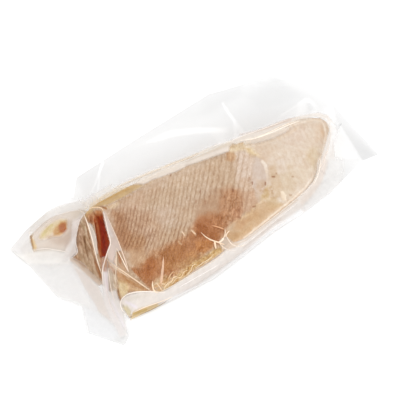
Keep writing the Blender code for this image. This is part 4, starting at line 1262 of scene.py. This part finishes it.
def with_bands(tree, colour):
    """Muscle bands with fine hair along them, and a fine broken groove between each two, dark with stripe and
    painted shade.
    """
    bands = mark(tree, "bands")
    shift = ranged(tree, mottle(tree, 190), 0.3, 0.7, -0.8, 0.8)
    wave = maths(tree, "COSINE", maths(tree, "MULTIPLY_ADD", mark(tree, "band_phase"), 2 * np.pi, shift))
    depth = times(tree, bands, ranged(tree, mottle(tree, 260, 2.0), 0.36, 0.6, 0.25, 1.4))
    colour = tint(tree, times(tree, ranged(tree, wave, 0.15, 1.0), depth), colour, GROOVE, "MULTIPLY")
    colour = tint(tree, times(tree, ranged(tree, wave, 0.2, -0.8), depth), colour, RIDGE, "MULTIPLY")
    hair = ranged(tree, mottle(tree, 620, 3.0, 0.6, (5, 1, 1), BAND_TURN), 0.36, 0.64)
    hairy = maths(tree, "MAXIMUM", bands, times(tree, mark(tree, "grain"), 0.9))
    return varied(tree, colour, hairy, hair, DARK_HAIR, LIGHT_HAIR)


def with_skin(tree, colour, patchy):
    """Faint slanting streaks and small blotches on the thin end."""
    skin = mark(tree, "skin")
    shift = ranged(tree, patchy, 0.3, 0.7, -2.0, 2.0)
    streak = maths(tree, "COSINE", maths(tree, "MULTIPLY_ADD", mark(tree, "streaks"), 2 * np.pi, shift))
    faint = times(tree, ranged(tree, streak, 0.0, 1.0), ranged(tree, mottle(tree, 60), 0.4, 0.6))
    colour = tint(tree, times(tree, faint, skin), colour, STREAK, "MULTIPLY")
    blotch = ranged(tree, mottle(tree, 210, 2.0), 0.46, 0.66)
    return tint(tree, times(tree, blotch, skin), colour, BLOTCH, "MULTIPLY")


def with_grain(tree, colour):
    """Clots and grains, strongest where there is blood, curdled fat, and the fibres of the cut end."""
    clot = ranged(tree, mottle(tree, 170, 4.0, 0.6, (2, 1, 1), BAND_TURN), 0.38, 0.62)
    colour = varied(tree, colour, mark(tree, "grain"), clot, DARK_CLOT, LIGHT_CLOT)
    grains = ranged(tree, mottle(tree, 520, 5.0, 0.8), 0.36, 0.64)
    colour = varied(tree, colour, mark(tree, "grain"), grains, DARK_GRAIN, LIGHT_GRAIN)
    curd = ranged(tree, mottle(tree, 240, 4.0, 0.65), 0.4, 0.6)
    colour = varied(tree, colour, mark(tree, "fat"), curd, DARK_FAT, LIGHT_FAT)
    fibre = ranged(tree, mottle(tree, 520, 4.0, 0.6, (6, 1, 2.5), FIBRE_TURN), 0.38, 0.62)
    return varied(tree, colour, mark(tree, "cut_end"), fibre, DARK_FIBRE, LIGHT_FIBRE)


def loin_material():
    material, tree = new_material("tuna_flesh")
    patchy = mottle(tree, 130)
    colour = varied(tree, mark(tree, "tone_and_painted_light", "Color"), 0.8, ranged(tree, patchy, 0.35, 0.65), DARK_PATCH,
                    LIGHT_PATCH)
    colour = with_grain(tree, with_skin(tree, with_bands(tree, colour), patchy))
    bump = node(tree, "Bump", {"Height": mottle(tree, 900, 4.0), "Strength": 0.25, "Distance": 0.0006})
    shader = node(tree, "BsdfPrincipled", {"Base Color": colour, "Specular IOR Level": 0.12,
                                           "Roughness": ranged(tree, patchy, 0.3, 0.7, 0.3, 0.5),
                                           "Normal": bump.outputs[0]})
    node(tree, "OutputMaterial", {0: shader.outputs[0]})
    return material


def strip_material():
    material, tree = new_material("belly_flesh")
    patchy, fine = mottle(tree, 110), mottle(tree, 420, 4.0, 0.6, (2.5, 1, 1))
    colour = mark(tree, "tone_and_painted_light", "Color")
    colour = tint(tree, ranged(tree, patchy, 0.4, 0.65, 0.0, 0.6), colour, STRIP_PATCH, "MULTIPLY")
    colour = tint(tree, ranged(tree, fine, 0.45, 0.7, 0.0, 0.6), colour, STRIP_GRAIN, "MULTIPLY")
    bump = node(tree, "Bump", {"Height": fine, "Strength": 0.3, "Distance": 0.0006})
    shader = node(tree, "BsdfPrincipled", {"Base Color": colour, "Roughness": 0.4, "Specular IOR Level": 0.2,
                                           "Normal": bump.outputs[0]})
    node(tree, "OutputMaterial", {0: shader.outputs[0]})
    return material


def film_material():
    """Clear film: light passes straight through, a little is mirrored, and folded film is milky."""
    material, tree = new_material("clear_film")
    bump = node(tree, "Bump", {"Height": mottle(tree, 45, 4.0), "Strength": 0.35, "Distance": 0.004})
    # the film's milkiness, with painted light where white is laid over shade
    milk_and_painted_light = mark(tree, "milk_and_painted_light", "Color")
    # where the film holds back little, as at its painted highlights, the bright floor shows through
    through = node(tree, "BsdfTransparent", {"Color": tint(tree, mark(tree, "held"), CLEAREST, DULLEST)})
    streaky = ranged(tree, mottle(tree, 120, 3.0), 0.3, 0.7, 0.92, 1.04)
    white = node(tree, "BsdfDiffuse", {"Color": milk_and_painted_light})
    glow = node(tree, "BsdfTranslucent", {"Color": milk_and_painted_light})
    milky = node(tree, "MixShader", {0: 0.15, 1: white.outputs[0], 2: glow.outputs[0]})
    # folded film scatters most light onward, so what lies under it is still well lit
    onward = ranged(tree, node(tree, "LightPath").outputs["Is Shadow Ray"], 0, 1, 1.0, 0.25)
    amount = times(tree, times(tree, mark(tree, "milk_and_painted_light", "Alpha"), streaky), onward)
    body = node(tree, "MixShader", {0: amount, 1: through.outputs[0], 2: milky.outputs[0]})
    mirror = node(tree, "BsdfGlossy", {"Color": (1, 1, 1, 1), "Roughness": 0.12, "Normal": bump.outputs[0]})
    inner = node(tree, "NewGeometry").outputs["Backfacing"]
    share = node(tree, "Fresnel", {"IOR": ranged(tree, inner, 0, 1, FILM_IOR, 1 / FILM_IOR),
                                   "Normal": bump.outputs[0]})
    shine = times(tree, share.outputs[0], times(tree, mark(tree, "shine"), 0.4))
    film = node(tree, "MixShader", {0: shine, 1: body.outputs[0], 2: mirror.outputs[0]})
    node(tree, "OutputMaterial", {0: film.outputs[0]})
    return material


def floor_material():
    material, tree = new_material("pale_floor")
    shader = node(tree, "BsdfDiffuse", {"Color": (0.9, 0.9, 0.9, 1.0)})
    node(tree, "OutputMaterial", {0: shader.outputs[0]})
    return material


# ---------------------------------------------------------------- stage, light and camera


def make_stage():
    """A pale floor just below the pack."""
    mesh = bpy.data.meshes.new("floor")
    corners = [(x * FLOOR_REACH, y * FLOOR_REACH, 0) for x, y in ((-1, -1), (1, -1), (1, 1), (-1, 1))]
    mesh.from_pydata(corners, [], [(0, 1, 2, 3)])
    mesh.materials.append(floor_material())
    floor = bpy.data.objects.new("floor", mesh)
    floor.location.z = -FLOOR_DROP
    bpy.context.scene.collection.objects.link(floor)


def aimed(back, up_hint):
    """A rotation that looks against a direction."""
    back = back / np.linalg.norm(back)
    right = np.cross(up_hint, back)
    right /= np.linalg.norm(right)
    return Matrix(np.stack([right, np.cross(back, right), back], -1).tolist()).to_4x4()


def make_light():
    """An even white world and two soft suns."""
    world = bpy.data.worlds.new("studio")
    world.use_nodes = True
    world.node_tree.nodes["Background"].inputs["Color"].default_value = (1, 1, 1, 1)
    world.node_tree.nodes["Background"].inputs["Strength"].default_value = WORLD_LIGHT
    bpy.context.scene.world = world
    for name, direction, strength, width in SUNS:
        light = bpy.data.lights.new(name, "SUN")
        light.energy = strength
        light.angle = np.radians(width)
        lamp = bpy.data.objects.new(name, light)
        lamp.matrix_world = aimed(np.array(direction, float), np.array((0.0, 0.1, 1.0)))
        bpy.context.scene.collection.objects.link(lamp)


def make_camera():
    """The camera as it was fitted to the photograph."""
    camera = bpy.data.cameras.new("camera")
    camera.sensor_width = SENSOR_MM
    camera.lens = FOCAL_PIXELS * SENSOR_MM / FRAME_PIXELS
    camera.clip_end = 50
    stand = bpy.data.objects.new("camera", camera)
    aim = aimed(camera_back, np.array((0.0, 0.0, 1.0)))
    stand.matrix_world = Matrix.Translation(camera_place.tolist()) @ aim
    bpy.context.scene.collection.objects.link(stand)
    bpy.context.scene.camera = stand


loin = make_loin(loin_material())
strip = make_strip(strip_material())
film_look = film_material()
film = make_film(film_look)
creases = make_creases(film_look)
make_stage()
make_light()
make_camera()
bpy.context.scene.view_settings.view_transform = "Standard"
